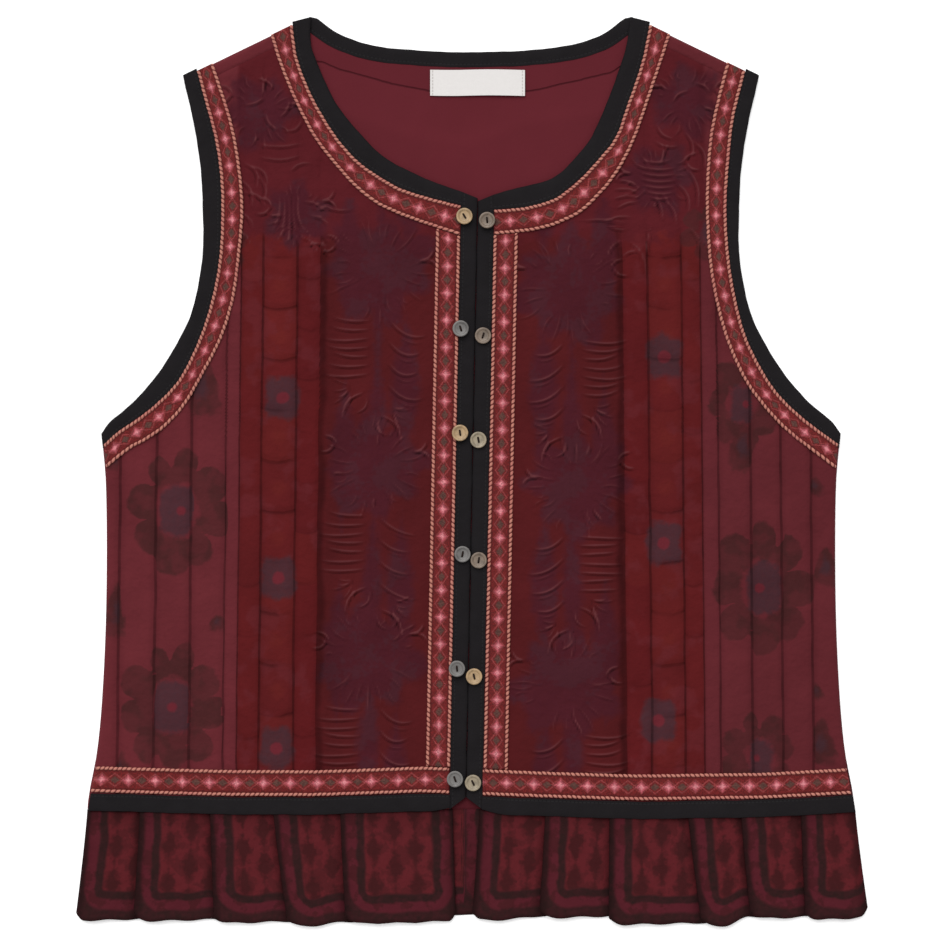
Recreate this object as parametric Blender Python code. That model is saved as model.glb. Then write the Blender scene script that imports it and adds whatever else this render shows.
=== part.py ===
"""A short folk vest, laid flat on its back with its front edges meeting.

Metres. X runs to the right as the vest is seen from above, Y from hem to neck, Z up.
The lowest layer lies on Z = 0. Each half of the front is worked out in its own half
plane, where x counts outward from the middle of the vest, and is mirrored to its side.
"""
import math
from collections import namedtuple

import bpy
from mathutils import Vector
from mathutils.geometry import delaunay_2d_cdt, intersect_line_line_2d, intersect_point_line

# Clearance between neighbouring pieces
GAP = 0.0003

# Heights of the layers
BACK_WALL = 0.0017
BACK_BAND_TOP = 0.0023
FRONT_LOW = 0.0030
FRONT_WALL = 0.0018
FRONT_BAND_LOW = 0.0027
FRONT_BAND_TOP = 0.0053
BRAID_WALL = 0.0010
BRAID_LIFT = 0.0004
BRAID_CORD = 1.6
HEM_BAND_WALL = 0.0010
LABEL_WALL = 0.0010
LOFT = 0.0016
LOFT_START = 0.018
LOFT_REACH = 0.045

# Widths of the bound edges and of the braids beside them
NECK_BAND = 0.0092
ARM_BAND = 0.0080
CENTRE_BAND = 0.0098
HEM_BAND = 0.0110
NECK_BRAID = 0.0160
ARM_BRAID = 0.0145
CENTRE_BRAID = 0.0156
HEM_BRAID = 0.0168
BRAID_MARGIN = 0.0008

# Levels along the vest
FRONT_HEM_Y = -0.2190
RUFFLE_TOP_Y = -0.2193
HEM_BAND_LOW_Y = -0.2213
HEM_CORNER = 0.0026
BACK_RUFFLE_HEM_Y = -0.2885
SHOULDER_FOLD = 0.0090
SIDE_FOOT = 0.0022
SIDE_ROLL = 0.0040
BACK_INSET = 0.0032

# Spacing of the points along edges, and how far edges run on before they are trimmed
EDGE_STEP = 0.0095
RUN_ON = 0.0350

# Spacing of the points that carry a panel's loft
LATTICE = 0.0240

Row = namedtuple("Row", "y half")
NeckRow = namedtuple("NeckRow", "y left right")
Pleat = namedtuple("Pleat", "top_x hem_x hem_y")
Bloom = namedtuple("Bloom", "left_x left_y right_x right_y radius")
Leaf = namedtuple("Leaf", "axis half_width height")
Button = namedtuple("Button", "left_x left_y right_x right_y")
Paint = namedtuple("Paint", "name colour roughness")

# Half width of the body from the hem up to the underarm
SIDE_ROWS = (
    Row(-0.2330, 0.2499),
    Row(-0.2110, 0.2483),
    Row(-0.1817, 0.2428),
    Row(-0.1427, 0.2392),
    Row(-0.0840, 0.2368),
    Row(-0.0100, 0.2370),
    Row(0.0245, 0.2398),
)

# Half width from the underarm up round the armhole to the shoulder tip
ARM_ROWS = (
    Row(0.0245, 0.2398),
    Row(0.0328, 0.2337),
    Row(0.0426, 0.2213),
    Row(0.0621, 0.2041),
    Row(0.0816, 0.1914),
    Row(0.1060, 0.1804),
    Row(0.1400, 0.1742),
    Row(0.1791, 0.1742),
    Row(0.2130, 0.1774),
    Row(0.2571, 0.1868),
)

# Front neck edge from the shoulder down to the centre front, each half its own
NECK_ROWS = (
    NeckRow(0.2948, 0.1040, 0.1035),
    NeckRow(0.2772, 0.1040, 0.1014),
    NeckRow(0.2545, 0.0956, 0.0940),
    NeckRow(0.2350, 0.0852, 0.0868),
    NeckRow(0.2155, 0.0689, 0.0774),
    NeckRow(0.2025, 0.0546, 0.0670),
    NeckRow(0.1905, 0.0310, 0.0540),
    NeckRow(0.1835, 0.0120, 0.0290),
    NeckRow(0.1790, -0.0010, 0.0130),
)

# Back neck edge from the middle out to the neck point
BACK_NECK_ROWS = (
    Row(0.2722, 0.0),
    Row(0.2732, 0.0306),
    Row(0.2764, 0.0618),
    Row(0.2837, 0.0850),
    Row(0.2948, 0.1010),
)

SHOULDER_NECK = Vector((0.1092, 0.2948))
SHOULDER_TIP = Vector((0.1868, 0.2571))
CENTRE_TOP = Vector((0.0044, 0.1740))
CENTRE_HEM = Vector((-0.0033, -0.2130))

# Knife pleats: the fold edges at the seam and at the hem, and how low each pleat hangs
LEFT_RUFFLE = (
    Pleat(-0.2488, -0.2560, -0.2915),
    Pleat(-0.2145, -0.2184, -0.2917),
    Pleat(-0.1690, -0.1664, -0.2930),
    Pleat(-0.1280, -0.1190, -0.2950),
    Pleat(-0.0845, -0.0812, -0.2932),
    Pleat(-0.0120, -0.0100, -0.2925),
)
RIGHT_RUFFLE = (
    Pleat(0.0058, 0.0013, -0.2912),
    Pleat(0.0487, 0.0449, -0.2896),
    Pleat(0.0903, 0.0897, -0.2940),
    Pleat(0.1410, 0.1495, -0.2950),
    Pleat(0.1755, 0.1813, -0.2900),
    Pleat(0.2145, 0.2171, -0.2908),
    Pleat(0.2494, 0.2574, -0.2900),
)
PLEAT_WALL = 0.0010
PLEAT_GAP = 0.00025
PLEAT_OPENING = 0.0006
PLEAT_DEPTH = 0.0085
PLEAT_CORNER = 0.0040
PLEAT_ROWS = (0.0, 0.3, 0.65, 0.9, 1.0)
PLEAT_BASE = 0.0013

# Sewn channels down the fronts
CHANNEL_COUNT = 6
CHANNEL_FIRST = 0.1150
CHANNEL_PITCH = 0.0223
CHANNEL_LEAN = 0.010
CHANNEL_DEPTH = 0.0008
CHANNEL_HALF = 0.0030
CHANNEL_STEP = 0.026

# Raised leaves and blooms beside the centre front
BLOOMS = (
    Bloom(0.0592, 0.1290, 0.0640, 0.1170, 0.025),
    Bloom(0.0624, 0.0030, 0.0690, -0.0090, 0.025),
    Bloom(0.0650, -0.1240, 0.0620, -0.1380, 0.025),
)
PETALS = 9
LEAF_HEIGHT = 0.0010
FROND_HALF = 0.0019
FROND_PITCH = 0.0150
FROND_INNER = 0.021
FROND_OUTER = 0.026
FROND_RISE = 0.006
FROND_TOP = 0.1800
FROND_LOW = -0.1850

BUTTON_RADIUS = 0.0053
BUTTON_SIDES = 14
BUTTON_HOLE = 0.0008
BUTTON_HOLE_OUT = 0.0016
BUTTON_HOLE_SIDES = 6
BUTTONS = (
    Button(-0.0043, 0.1654, 0.0104, 0.1628),
    Button(-0.0067, 0.0926, 0.0078, 0.0881),
    Button(-0.0071, 0.0250, 0.0048, 0.0205),
    Button(-0.0055, -0.0536, 0.0050, -0.0575),
    Button(-0.0091, -0.1277, 0.0020, -0.1329),
    Button(-0.0104, -0.1992, 0.0013, -0.2018),
)

LABEL_X = (-0.0265, 0.0350)
LABEL_Y = (0.2440, 0.2608)

WINE = Paint("wine cotton", (0.110, 0.022, 0.028), 0.9)
OXBLOOD = Paint("oxblood lining", (0.105, 0.020, 0.026), 0.9)
BLACK = Paint("black binding", (0.010, 0.013, 0.015), 0.8)
BRICK = Paint("brick braid", (0.240, 0.035, 0.035), 0.75)
BLOCK = Paint("printed ruffle cotton", (0.080, 0.014, 0.017), 0.9)
HORN = Paint("horn", (0.160, 0.100, 0.055), 0.4)
WHITE = Paint("white tape", (0.800, 0.790, 0.770), 0.7)


def paint(spec):
    """The Principled material for a finish, made once."""
    material = bpy.data.materials.get(spec.name)
    if material is None:
        material = bpy.data.materials.new(spec.name)
        material.use_nodes = True
        shader = material.node_tree.nodes["Principled BSDF"]
        shader.inputs["Base Color"].default_value = (*spec.colour, 1.0)
        shader.inputs["Roughness"].default_value = spec.roughness
        shader.inputs["Metallic"].default_value = 0.0
    return material


def add_solid(name, points, faces, spec, sign=1):
    """A closed solid, mirrored to the left where sign is -1."""
    if sign < 0:
        points = [(-x, y, z) for x, y, z in points]
        faces = [tuple(reversed(face)) for face in faces]
    mesh = bpy.data.meshes.new(name)
    mesh.from_pydata(points, [], faces)
    mesh.update()
    mesh.materials.append(paint(spec))
    solid = bpy.data.objects.new(name, mesh)
    bpy.context.scene.collection.objects.link(solid)
    return solid


# Lines in the plane

def even_steps(line, step):
    """The same line with its points evenly spaced, about a step apart."""
    length = sum((b - a).length for a, b in zip(line, line[1:]))
    count = max(1, round(length / step))
    spacing = length / count
    result = [line[0].copy()]
    wanted = spacing
    walked = 0.0
    for a, b in zip(line, line[1:]):
        part = (b - a).length
        while len(result) < count and walked + part >= wanted:
            result.append(a.lerp(b, (wanted - walked) / part))
            wanted += spacing
        walked += part
    result.append(line[-1].copy())
    return result


def smooth_line(knots, step=EDGE_STEP):
    """Evenly spaced points along a smooth curve through the knots."""
    knots = [Vector(knot) for knot in knots]
    at = [0.0]
    for a, b in zip(knots, knots[1:]):
        at.append(at[-1] + (b - a).length)
    slopes = []
    for i in range(len(knots)):
        before = max(i - 1, 0)
        after = min(i + 1, len(knots) - 1)
        slopes.append((knots[after] - knots[before]) / (at[after] - at[before]))
    dense = []
    pieces = 12
    for i in range(len(knots) - 1):
        span = at[i + 1] - at[i]
        for j in range(pieces):
            t = j / pieces
            start = 2 * t ** 3 - 3 * t ** 2 + 1
            leave = t ** 3 - 2 * t ** 2 + t
            end = 3 * t ** 2 - 2 * t ** 3
            arrive = t ** 3 - t ** 2
            dense.append(start * knots[i] + end * knots[i + 1]
                         + span * (leave * slopes[i] + arrive * slopes[i + 1]))
    dense.append(knots[-1])
    return even_steps(dense, step)


def left_normal(line, i):
    """The unit vector to the left of a line at its point i."""
    ahead = line[min(i + 1, len(line) - 1)]
    behind = line[max(i - 1, 0)]
    way = (ahead - behind).normalized()
    return Vector((-way.y, way.x))


def offset(line, distance):
    """The line moved to its left."""
    return [point + distance * left_normal(line, i) for i, point in enumerate(line)]


def extended(line, amount=RUN_ON):
    """The line run on straight past both ends."""
    start = line[0] + (line[0] - line[1]).normalized() * amount
    end = line[-1] + (line[-1] - line[-2]).normalized() * amount
    return [start, *line, end]


def meet(first, second):
    """Two lines cut back to the point where they cross."""
    for i in range(len(first) - 1, 0, -1):
        for j in range(len(second) - 1):
            point = intersect_line_line_2d(first[i - 1], first[i], second[j], second[j + 1])
            if point is not None:
                return first[:i] + [point.copy()], [point.copy()] + second[j + 1:]
    raise ValueError("these edges don't meet")


def closed_outline(lines):
    """The closed outline that the lines bound, in the order they are given."""
    lines = [extended(line) for line in lines]
    for i in range(len(lines)):
        following = (i + 1) % len(lines)
        lines[i], lines[following] = meet(lines[i], lines[following])
    outline = []
    for line in lines:
        outline.extend(line[:-1])
    kept = [outline[0]]
    for point in outline[1:]:
        if (point - kept[-1]).length > 0.0008:
            kept.append(point)
    return kept


def inside(point, outline):
    """Whether a point lies within an outline."""
    result = False
    for a, b in zip(outline, outline[1:] + outline[:1]):
        if (a.y > point.y) != (b.y > point.y):
            if point.x < a.x + (point.y - a.y) / (b.y - a.y) * (b.x - a.x):
                result = not result
    return result


def distance_to(point, line):
    """The distance from a point to a line of points, and how far along it that is."""
    best = None
    walked = 0.0
    for a, b in zip(line, line[1:]):
        near, share = intersect_point_line(point, a, b)
        share = min(1.0, max(0.0, share))
        near = a.lerp(b, share)
        gap = (point - near).length
        if best is None or gap < best[0]:
            best = (gap, walked + share * (b - a).length)
        walked += (b - a).length
    return best[0], best[1] / walked


def ease(value):
    """A smooth step from 0 to 1."""
    value = min(1.0, max(0.0, value))
    return value * value * (3 - 2 * value)


# Walls and bands

def lattice_points(outline, taken):
    """Evenly spread points within an outline, where no others are near."""
    xs = [point.x for point in outline]
    ys = [point.y for point in outline]
    result = []
    for i in range(1 + int((max(xs) - min(xs)) / LATTICE)):
        for j in range(1 + int((max(ys) - min(ys)) / LATTICE)):
            point = Vector((min(xs) + (i + 0.5 * (j % 2)) * LATTICE, min(ys) + j * LATTICE))
            if inside(point, outline) and all((point - other).length > 0.4 * LATTICE
                                              for other in taken):
                result.append(point)
    return result


def triangles_within(outline, lines, keep_clear):
    """Points and triangles that fill an outline and follow the lines inside it."""
    points = [point.copy() for point in outline]
    edges = []
    rim = outline + outline[:1]
    for line in lines:
        previous = None
        for point in line:
            if not inside(point, outline) or distance_to(point, rim)[0] < keep_clear:
                previous = None
                continue
            points.append(point.copy())
            if previous is not None:
                edges.append((previous, len(points) - 1))
            previous = len(points) - 1
    if lines:
        points.extend(lattice_points(outline, points))
    ring = [list(range(len(outline)))]
    found = delaunay_2d_cdt(points, edges, ring, 1, 0.00002)
    made, faces, sources = found[0], found[2], found[3]
    place = {}
    for index, origins in enumerate(sources):
        for origin in origins:
            place[origin] = index
    border = [place[i] for i in range(len(outline))]
    return [Vector(point) for point in made], [tuple(face) for face in faces], border


def area_of(points, face):
    """Twice the signed area of a face in the plane."""
    total = 0.0
    for i, j in zip(face, face[1:] + face[:1]):
        total += points[i].x * points[j].y - points[j].x * points[i].y
    return total


def add_wall(name, outline, top, low, top_lines, low_lines, spec, sign=1, keep_clear=0.0007):
    """A wall of cloth between two height functions, within an outline."""
    upper, upper_faces, upper_rim = triangles_within(outline, top_lines, keep_clear)
    lower, lower_faces, lower_rim = triangles_within(outline, low_lines, keep_clear)
    points = [(p.x, p.y, top(p)) for p in upper] + [(p.x, p.y, low(p)) for p in lower]
    base = len(upper)
    faces = []
    for face in upper_faces:
        faces.append(face if area_of(upper, face) > 0 else tuple(reversed(face)))
    for face in lower_faces:
        turned = face if area_of(lower, face) < 0 else tuple(reversed(face))
        faces.append(tuple(base + i for i in turned))
    order = list(range(len(outline)))
    if area_of(outline, tuple(order)) < 0:
        order.reverse()
    for i, j in zip(order, order[1:] + order[:1]):
        faces.append((base + lower_rim[i], base + lower_rim[j], upper_rim[j], upper_rim[i]))
    used = sorted({i for face in faces for i in face})
    renumbered = {old: new for new, old in enumerate(used)}
    points = [points[i] for i in used]
    faces = [tuple(renumbered[i] for i in face) for face in faces]
    return add_solid(name, points, faces, spec, sign)


def add_band(name, edge, width, section, low, thickness, spec, sign=1, ways=None):
    """A tape swept along an edge, reaching to its left.

    The section lists how far across and how far up each corner is, as shares of the
    width and the thickness. Some stations may lie along given ways, to meet a neighbour.
    """
    points = []
    ways = {i % len(edge): way for i, way in (ways or {}).items()}
    for i, point in enumerate(edge):
        across = ways.get(i, left_normal(edge, i) * width)
        for share, up in section:
            place = point + across * share
            points.append((place.x, place.y, low(place) + up * thickness))
    faces = []
    count = len(section)
    for i in range(len(edge) - 1):
        for j in range(count):
            k = (j + 1) % count
            faces.append((i * count + j, i * count + k, (i + 1) * count + k, (i + 1) * count + j))
    faces.append(tuple(reversed(range(count))))
    last = (len(edge) - 1) * count
    faces.append(tuple(last + j for j in range(count)))
    return add_solid(name, points, faces, spec, sign)


# Corners of a rounded tape, of a folded shoulder and of a braid with two corded edges
TAPE = ((0.0, 0.0), (1.0, 0.0), (1.0, 0.72), (0.90, 1.0), (0.14, 1.0), (0.0, 0.62))
FOLD = ((0.10, 0.0), (1.0, 0.0), (1.0, 1.0), (0.34, 1.0), (0.12, 0.88), (0.0, 0.55),
        (0.0, 0.25))
BRAID = ((0.0, 0.0), (1.0, 0.0), (1.0, 0.9), (0.93, BRAID_CORD), (0.84, 1.0), (0.16, 1.0),
         (0.07, BRAID_CORD), (0.0, 0.9))


def level(height):
    """A height function that is the same everywhere."""
    return lambda point: height


class Half:
    """The edges of one half of the front, with x counted outward from the middle."""

    def __init__(self, sign, side_name):
        self.sign = sign
        self.name = side_name
        self.side = smooth_line([(row.half, row.y) for row in SIDE_ROWS])
        self.arm = smooth_line([(row.half, row.y) for row in ARM_ROWS])
        knots = [(getattr(row, side_name), row.y) for row in NECK_ROWS]
        self.neck = smooth_line(knots)
        top = Vector((sign * CENTRE_TOP.x + GAP, CENTRE_TOP.y + 0.010))
        hem = Vector((sign * CENTRE_HEM.x + GAP, CENTRE_HEM.y - 0.012))
        self.centre = even_steps([top, hem], 0.040)
        self.hem = even_steps([Vector((0.0, FRONT_HEM_Y)), Vector((0.24, FRONT_HEM_Y))], 0.012)
        slope = (SHOULDER_NECK - SHOULDER_TIP).normalized()
        self.fold = even_steps([SHOULDER_TIP, SHOULDER_NECK], 0.012)
        self.seam = offset(self.fold, SHOULDER_FOLD)
        self.slope = slope

    def panel(self, extra=0.0):
        """The outline of the front panel, drawn in by an extra margin."""
        return closed_outline([
            offset(self.hem, extra),
            offset(self.side, extra),
            offset(self.arm, ARM_BAND + GAP + extra),
            offset(self.seam, GAP + extra),
            offset(self.neck, NECK_BAND + GAP + extra),
            offset(self.centre, CENTRE_BAND + GAP + extra),
        ])

    def field(self):
        """The outline of the quilted cloth between the braids."""
        margin = 0.0036
        return closed_outline([
            offset(self.hem, HEM_BRAID + HEM_BAND + margin),
            offset(self.side, SIDE_ROLL + 0.001),
            offset(self.arm, ARM_BAND + BRAID_MARGIN + ARM_BRAID + margin),
            offset(self.seam, 0.002),
            offset(self.neck, NECK_BAND + BRAID_MARGIN + NECK_BRAID + margin),
            offset(self.centre, CENTRE_BAND + BRAID_MARGIN + CENTRE_BRAID + margin),
        ])


# The raised work on the fronts

def leaf_along(points, half_width, height=LEAF_HEIGHT):
    """A raised leaf on a short curved axis."""
    return Leaf([Vector(point) for point in points], half_width, height)


def leaf_lines(leaf):
    """The crest and the foot of a leaf, as lines for the wall to follow."""
    crest = even_steps(leaf.axis, 0.006)
    edges = []
    for way in (1, -1):
        edge = [crest[0]]
        for i in range(1, len(crest) - 1):
            reach = leaf.half_width * math.sin(math.pi * i / (len(crest) - 1)) ** 0.5
            edge.append(crest[i] + way * reach * left_normal(crest, i))
        edge.append(crest[-1])
        edges.append(edge)
    return [crest, *edges]


def leaf_height(leaf, point):
    """How far a leaf raises the cloth at a point."""
    gap, share = distance_to(point, leaf.axis)
    swell = math.sin(math.pi * share) ** 0.5
    reach = max(leaf.half_width * swell, 0.0001)
    return leaf.height * swell * max(0.0, 1.0 - gap / reach)


def leaves_of(half):
    """The fronds up both sides of the stem and the petals of each bloom."""
    blooms = []
    for row in BLOOMS:
        centre = Vector((getattr(row, half.name + "_x"), getattr(row, half.name + "_y")))
        blooms.append((centre, row.radius))
    leaves = []
    for centre, radius in blooms:
        for k in range(PETALS):
            angle = 2 * math.pi * (k + 0.25) / PETALS
            way = Vector((math.cos(angle), math.sin(angle)))
            leaves.append(leaf_along([centre + way * radius * 0.32, centre + way * radius], 0.0023))
    count = int((FROND_TOP - FROND_LOW) / FROND_PITCH)
    for k in range(count):
        y = FROND_LOW + (k + 0.5) * FROND_PITCH
        stem_x = blooms[0][0].x + 0.002 + 0.004 * math.sin(9.0 * y)
        for way, reach in ((-1, FROND_INNER), (1, FROND_OUTER)):
            start = Vector((stem_x + way * 0.003, y))
            middle = Vector((stem_x + way * reach * 0.55, y + FROND_RISE * 0.8))
            end = Vector((stem_x + way * reach, y + FROND_RISE * (1.1 if way > 0 else 0.6)))
            axis = smooth_line([start, middle, end], 0.005)
            if all((point - centre).length > radius + 0.004 for centre, radius in blooms
                   for point in axis):
                leaves.append(leaf_along(axis, FROND_HALF))
    return leaves


def channels_of(half, field):
    """The lines of the sewn channels, each cut back to the quilted cloth."""
    channels = []
    for k in range(CHANNEL_COUNT):
        x = CHANNEL_FIRST + k * CHANNEL_PITCH
        lean = Vector((CHANNEL_LEAN, -1.0)).normalized()
        line = even_steps([Vector((x, 0.270)), Vector((x, 0.270)) + lean * 0.5], 0.002)
        runs = [point for point in line if inside(point, field)]
        if len(runs) > 8:
            channels.append(even_steps([runs[0], runs[-1]], CHANNEL_STEP))
    return channels


def channel_depth(channel, point):
    """How far a sewn channel draws the cloth in at a point."""
    gap, share = distance_to(point, channel)
    length = (channel[-1] - channel[0]).length
    ends = ease(min(share, 1.0 - share) * length / 0.006)
    return CHANNEL_DEPTH * ends * max(0.0, 1.0 - gap / CHANNEL_HALF)


class FrontCloth:
    """The height of one front, above and below."""

    def __init__(self, half):
        self.half = half
        self.rim = half.panel()
        self.field = half.field()
        self.leaves = []
        for leaf in leaves_of(half):
            if all(inside(point, self.field) for point in leaf.axis):
                self.leaves.append(leaf)
        self.channels = channels_of(half, self.field)
        self.closed_rim = self.rim + self.rim[:1]

    def loft(self, point):
        """How far the front stands off the layer below."""
        reach = distance_to(point, self.closed_rim)[0] - LOFT_START
        return LOFT * ease(reach / LOFT_REACH)

    def side_gap(self, point):
        """The distance to the side edge."""
        return distance_to(point, self.half.side)[0]

    def smooth_top(self, point):
        """The top of the cloth without its raised work."""
        height = FRONT_LOW + FRONT_WALL + self.loft(point)
        gap = self.side_gap(point)
        if gap < SIDE_ROLL:
            drop = 1.0 - gap / SIDE_ROLL
            height -= (FRONT_WALL + 0.0008) * drop ** 2.4
        return height

    def top(self, point):
        """The top of the cloth."""
        height = self.smooth_top(point)
        for leaf in self.leaves:
            if (leaf.axis[0] - point).length < 0.045:
                height += leaf_height(leaf, point)
        for channel in self.channels:
            height -= channel_depth(channel, point)
        return height

    def low(self, point):
        """The underside of the cloth, which comes down to a foot at the side seam."""
        if self.side_gap(point) < SIDE_FOOT + 0.0001:
            return 0.0
        return FRONT_LOW + self.loft(point)

    def top_lines(self):
        """Lines that the upper side follows."""
        lines = [offset(self.half.side, reach) for reach in (0.0012, 0.0040)]
        for leaf in self.leaves:
            lines.extend(leaf_lines(leaf))
        for channel in self.channels:
            lines.append(channel)
            lines.append(offset(channel, CHANNEL_HALF))
            lines.append(offset(channel, -CHANNEL_HALF))
        return lines

    def low_lines(self):
        """Lines that the plain underside follows."""
        side = self.half.side
        return [offset(side, SIDE_FOOT), offset(side, SIDE_FOOT + 0.0004)]


def make_front(half):
    """The front panel, its bands and its braids."""
    cloth = FrontCloth(half)
    name, sign = half.name, half.sign
    add_wall("front_" + name, cloth.rim, cloth.top, cloth.low, cloth.top_lines(),
             cloth.low_lines(), WINE, sign)
    make_front_bands(half)
    make_braids(half, cloth)


def between(line, first, last):
    """The part of a line between its crossings with two other lines."""
    trimmed = meet(extended(first), extended(line))[1]
    return meet(trimmed, extended(last))[0]


def make_front_bands(half):
    """The black tapes that bind the front's edges."""
    name, sign = half.name, half.sign
    low = level(FRONT_BAND_LOW)
    thick = FRONT_BAND_TOP - FRONT_BAND_LOW
    arm = half.arm
    side_way = Vector((-0.0010, -0.0088))
    shoulder_way = half.slope * ARM_BAND * 1.03
    add_band("arm_band_" + name, arm, ARM_BAND, TAPE, low, thick, BLACK, sign,
             {0: side_way, -1: shoulder_way})

    centre_inner = offset(half.centre, CENTRE_BAND + GAP)
    neck = meet(extended(half.neck), extended(centre_inner))[0]
    neck = even_steps(neck[1:], EDGE_STEP)
    outer = meet(extended(offset(half.neck, NECK_BAND)), extended(centre_inner))[0]
    add_band("neck_band_" + name, neck, NECK_BAND, TAPE, low, thick, BLACK, sign,
             {0: -half.slope * NECK_BAND * 1.10, -1: outer[-1] - neck[-1]})

    top_inner = meet(extended(half.neck), extended(offset(half.centre, CENTRE_BAND)))[0][-1]
    top_outer = Vector((half.centre[0].x, min(top_inner.y - 0.004, 0.1780)))
    hem_outer = Vector((half.centre[-1].x, HEM_BAND_LOW_Y + 0.0100))
    hem_inner = Vector((hem_outer.x + CENTRE_BAND, HEM_BAND_LOW_Y + HEM_CORNER))
    line = even_steps([top_outer, hem_outer], 0.040)
    add_band("centre_band_" + name, line, CENTRE_BAND, TAPE, low, thick, BLACK, sign,
             {0: top_inner - top_outer, -1: hem_inner - hem_outer})

    start_x = hem_inner.x + GAP
    hem_low = level(FRONT_LOW + FRONT_WALL + GAP)
    end_x = half.side[1].x + 0.0004
    hem_edge = [Vector((start_x, HEM_BAND_LOW_Y + HEM_CORNER))]
    hem_edge += even_steps([Vector((start_x + 0.012, HEM_BAND_LOW_Y)),
                            Vector((end_x, HEM_BAND_LOW_Y))], 0.050)
    first_way = Vector((0.0, HEM_BAND - HEM_CORNER))
    add_band("hem_band_" + name, hem_edge, HEM_BAND, TAPE, hem_low, HEM_BAND_WALL, BLACK, sign,
             {0: first_way, 1: Vector((0.0, HEM_BAND))})


def make_braids(half, cloth):
    """The four woven braids of one front, lying on the cloth beside its bands."""
    name, sign = half.name, half.sign

    def low(point):
        return cloth.smooth_top(point) + BRAID_LIFT

    neck_edge = offset(half.neck, NECK_BAND + BRAID_MARGIN)
    centre_edge = offset(half.centre, CENTRE_BAND + BRAID_MARGIN)
    neck_edge = between(neck_edge, half.fold, centre_edge)
    neck_edge = even_steps(neck_edge, 0.0105)
    neck_far = between(offset(half.neck, NECK_BAND + BRAID_MARGIN + NECK_BRAID), half.fold,
                       centre_edge)
    add_band("neck_braid_" + name, neck_edge, NECK_BRAID, BRAID, low, BRAID_WALL, BRICK, sign,
             {0: neck_far[0] - neck_edge[0], -1: neck_far[-1] - neck_edge[-1]})

    arm_line = offset(half.arm, ARM_BAND + BRAID_MARGIN)
    arm_outer = offset(half.arm, ARM_BAND + BRAID_MARGIN + ARM_BRAID)
    roll = side_stations(half, list(reversed(arm_line)), list(reversed(arm_outer)))
    run = between(arm_line, offset(half.side, SIDE_ROLL), half.fold)
    arm_edge = [near for near, way in roll[:-1]] + even_steps(run, 0.0105)
    ways = {i: way for i, (near, way) in enumerate(roll)}
    ways[-1] = meet(extended(arm_outer), extended(half.fold))[0][-1] - arm_edge[-1]
    add_band("arm_braid_" + name, arm_edge, ARM_BRAID, BRAID, low, BRAID_WALL, BRICK, sign, ways)

    hem_top = FRONT_HEM_Y + HEM_BRAID + HEM_BAND - 0.0015
    hem_line = [Vector((0.0, hem_top + GAP)), Vector((0.3, hem_top + GAP))]
    neck_under = offset(half.neck, NECK_BAND + BRAID_MARGIN + NECK_BRAID + GAP)
    near = between(centre_edge, neck_under, hem_line)
    far = between(offset(half.centre, CENTRE_BAND + BRAID_MARGIN + CENTRE_BRAID), neck_under,
                  hem_line)
    add_band("centre_braid_" + name, even_steps(near, 0.018), CENTRE_BRAID, BRAID, low,
             BRAID_WALL, BRICK, sign, {0: far[0] - near[0], -1: far[-1] - near[-1]})

    hem_y = hem_top - HEM_BRAID
    start_x = centre_edge[-1].x
    hem_line = [Vector((start_x, hem_y)), Vector((0.24, hem_y))]
    far_line = [Vector((start_x, hem_y + HEM_BRAID)), Vector((0.24, hem_y + HEM_BRAID))]
    roll = list(reversed(side_stations(half, hem_line, far_line)))
    hem_edge = even_steps([hem_line[0], roll[0][0]], 0.018) + [near for near, way in roll[1:]]
    ways = {-1 - i: way for i, (near, way) in enumerate(reversed(roll))}
    add_band("hem_braid_" + name, hem_edge, HEM_BRAID, BRAID, low, BRAID_WALL, BRICK, sign, ways)


def side_stations(half, near_line, far_line):
    """Where a braid that runs out to the side crosses the roll of the cloth there."""
    result = []
    for share in (0.3, 0.6, 1.0):
        side = offset(half.side, SIDE_ROLL * share)
        near = meet(extended(near_line), extended(side))[0][-1]
        far = meet(extended(far_line), extended(side))[0][-1]
        result.append((near, far - near))
    return result


# The back

def mirrored(line):
    """The line on the other side, run the other way."""
    return [Vector((-point.x, point.y)) for point in reversed(line)]


def make_back(half):
    """The back panel with its shoulders folded over, and its bands."""
    neck = smooth_line([(row.half, row.y) for row in BACK_NECK_ROWS])
    full_neck = list(reversed(neck[1:])) + [Vector((-p.x, p.y)) for p in neck]
    side = offset(half.side, BACK_INSET)
    arm = offset(half.arm, ARM_BAND + GAP)
    hem_y = FRONT_HEM_Y + HEM_BAND + GAP
    hem = [Vector((-0.24, hem_y)), Vector((0.0, hem_y)), Vector((0.24, hem_y))]
    seam = offset(half.seam, GAP)
    rim = closed_outline([hem, side, arm, seam, offset(full_neck, NECK_BAND + GAP),
                          mirrored(seam), mirrored(arm), mirrored(side)])
    add_wall("back_panel", rim, level(BACK_WALL), level(0.0), [], [], OXBLOOD)

    low = level(0.0)
    neck_way = half.slope * NECK_BAND
    left_way = Vector((neck_way.x, -neck_way.y))
    add_band("neck_band_back", full_neck, NECK_BAND, TAPE, low, BACK_BAND_TOP, BLACK, 1,
             {0: -neck_way, -1: left_way})
    side_way = Vector((-0.0010, -0.0088))
    for sign, name in ((1, "right"), (-1, "left")):
        add_band("arm_band_back_" + name, half.arm, ARM_BAND, TAPE, low, BACK_BAND_TOP, BLACK,
                 sign, {0: side_way, -1: half.slope * ARM_BAND * 1.03})
        make_shoulder(Half(sign, name))
    edge_x = meet(extended(hem), extended(side))[0][-1].x
    hem_edge = even_steps([Vector((-edge_x, FRONT_HEM_Y)), Vector((edge_x, FRONT_HEM_Y))], 0.12)
    add_band("hem_band_back", hem_edge, HEM_BAND, TAPE, low, BACK_WALL, BLACK)


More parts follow.
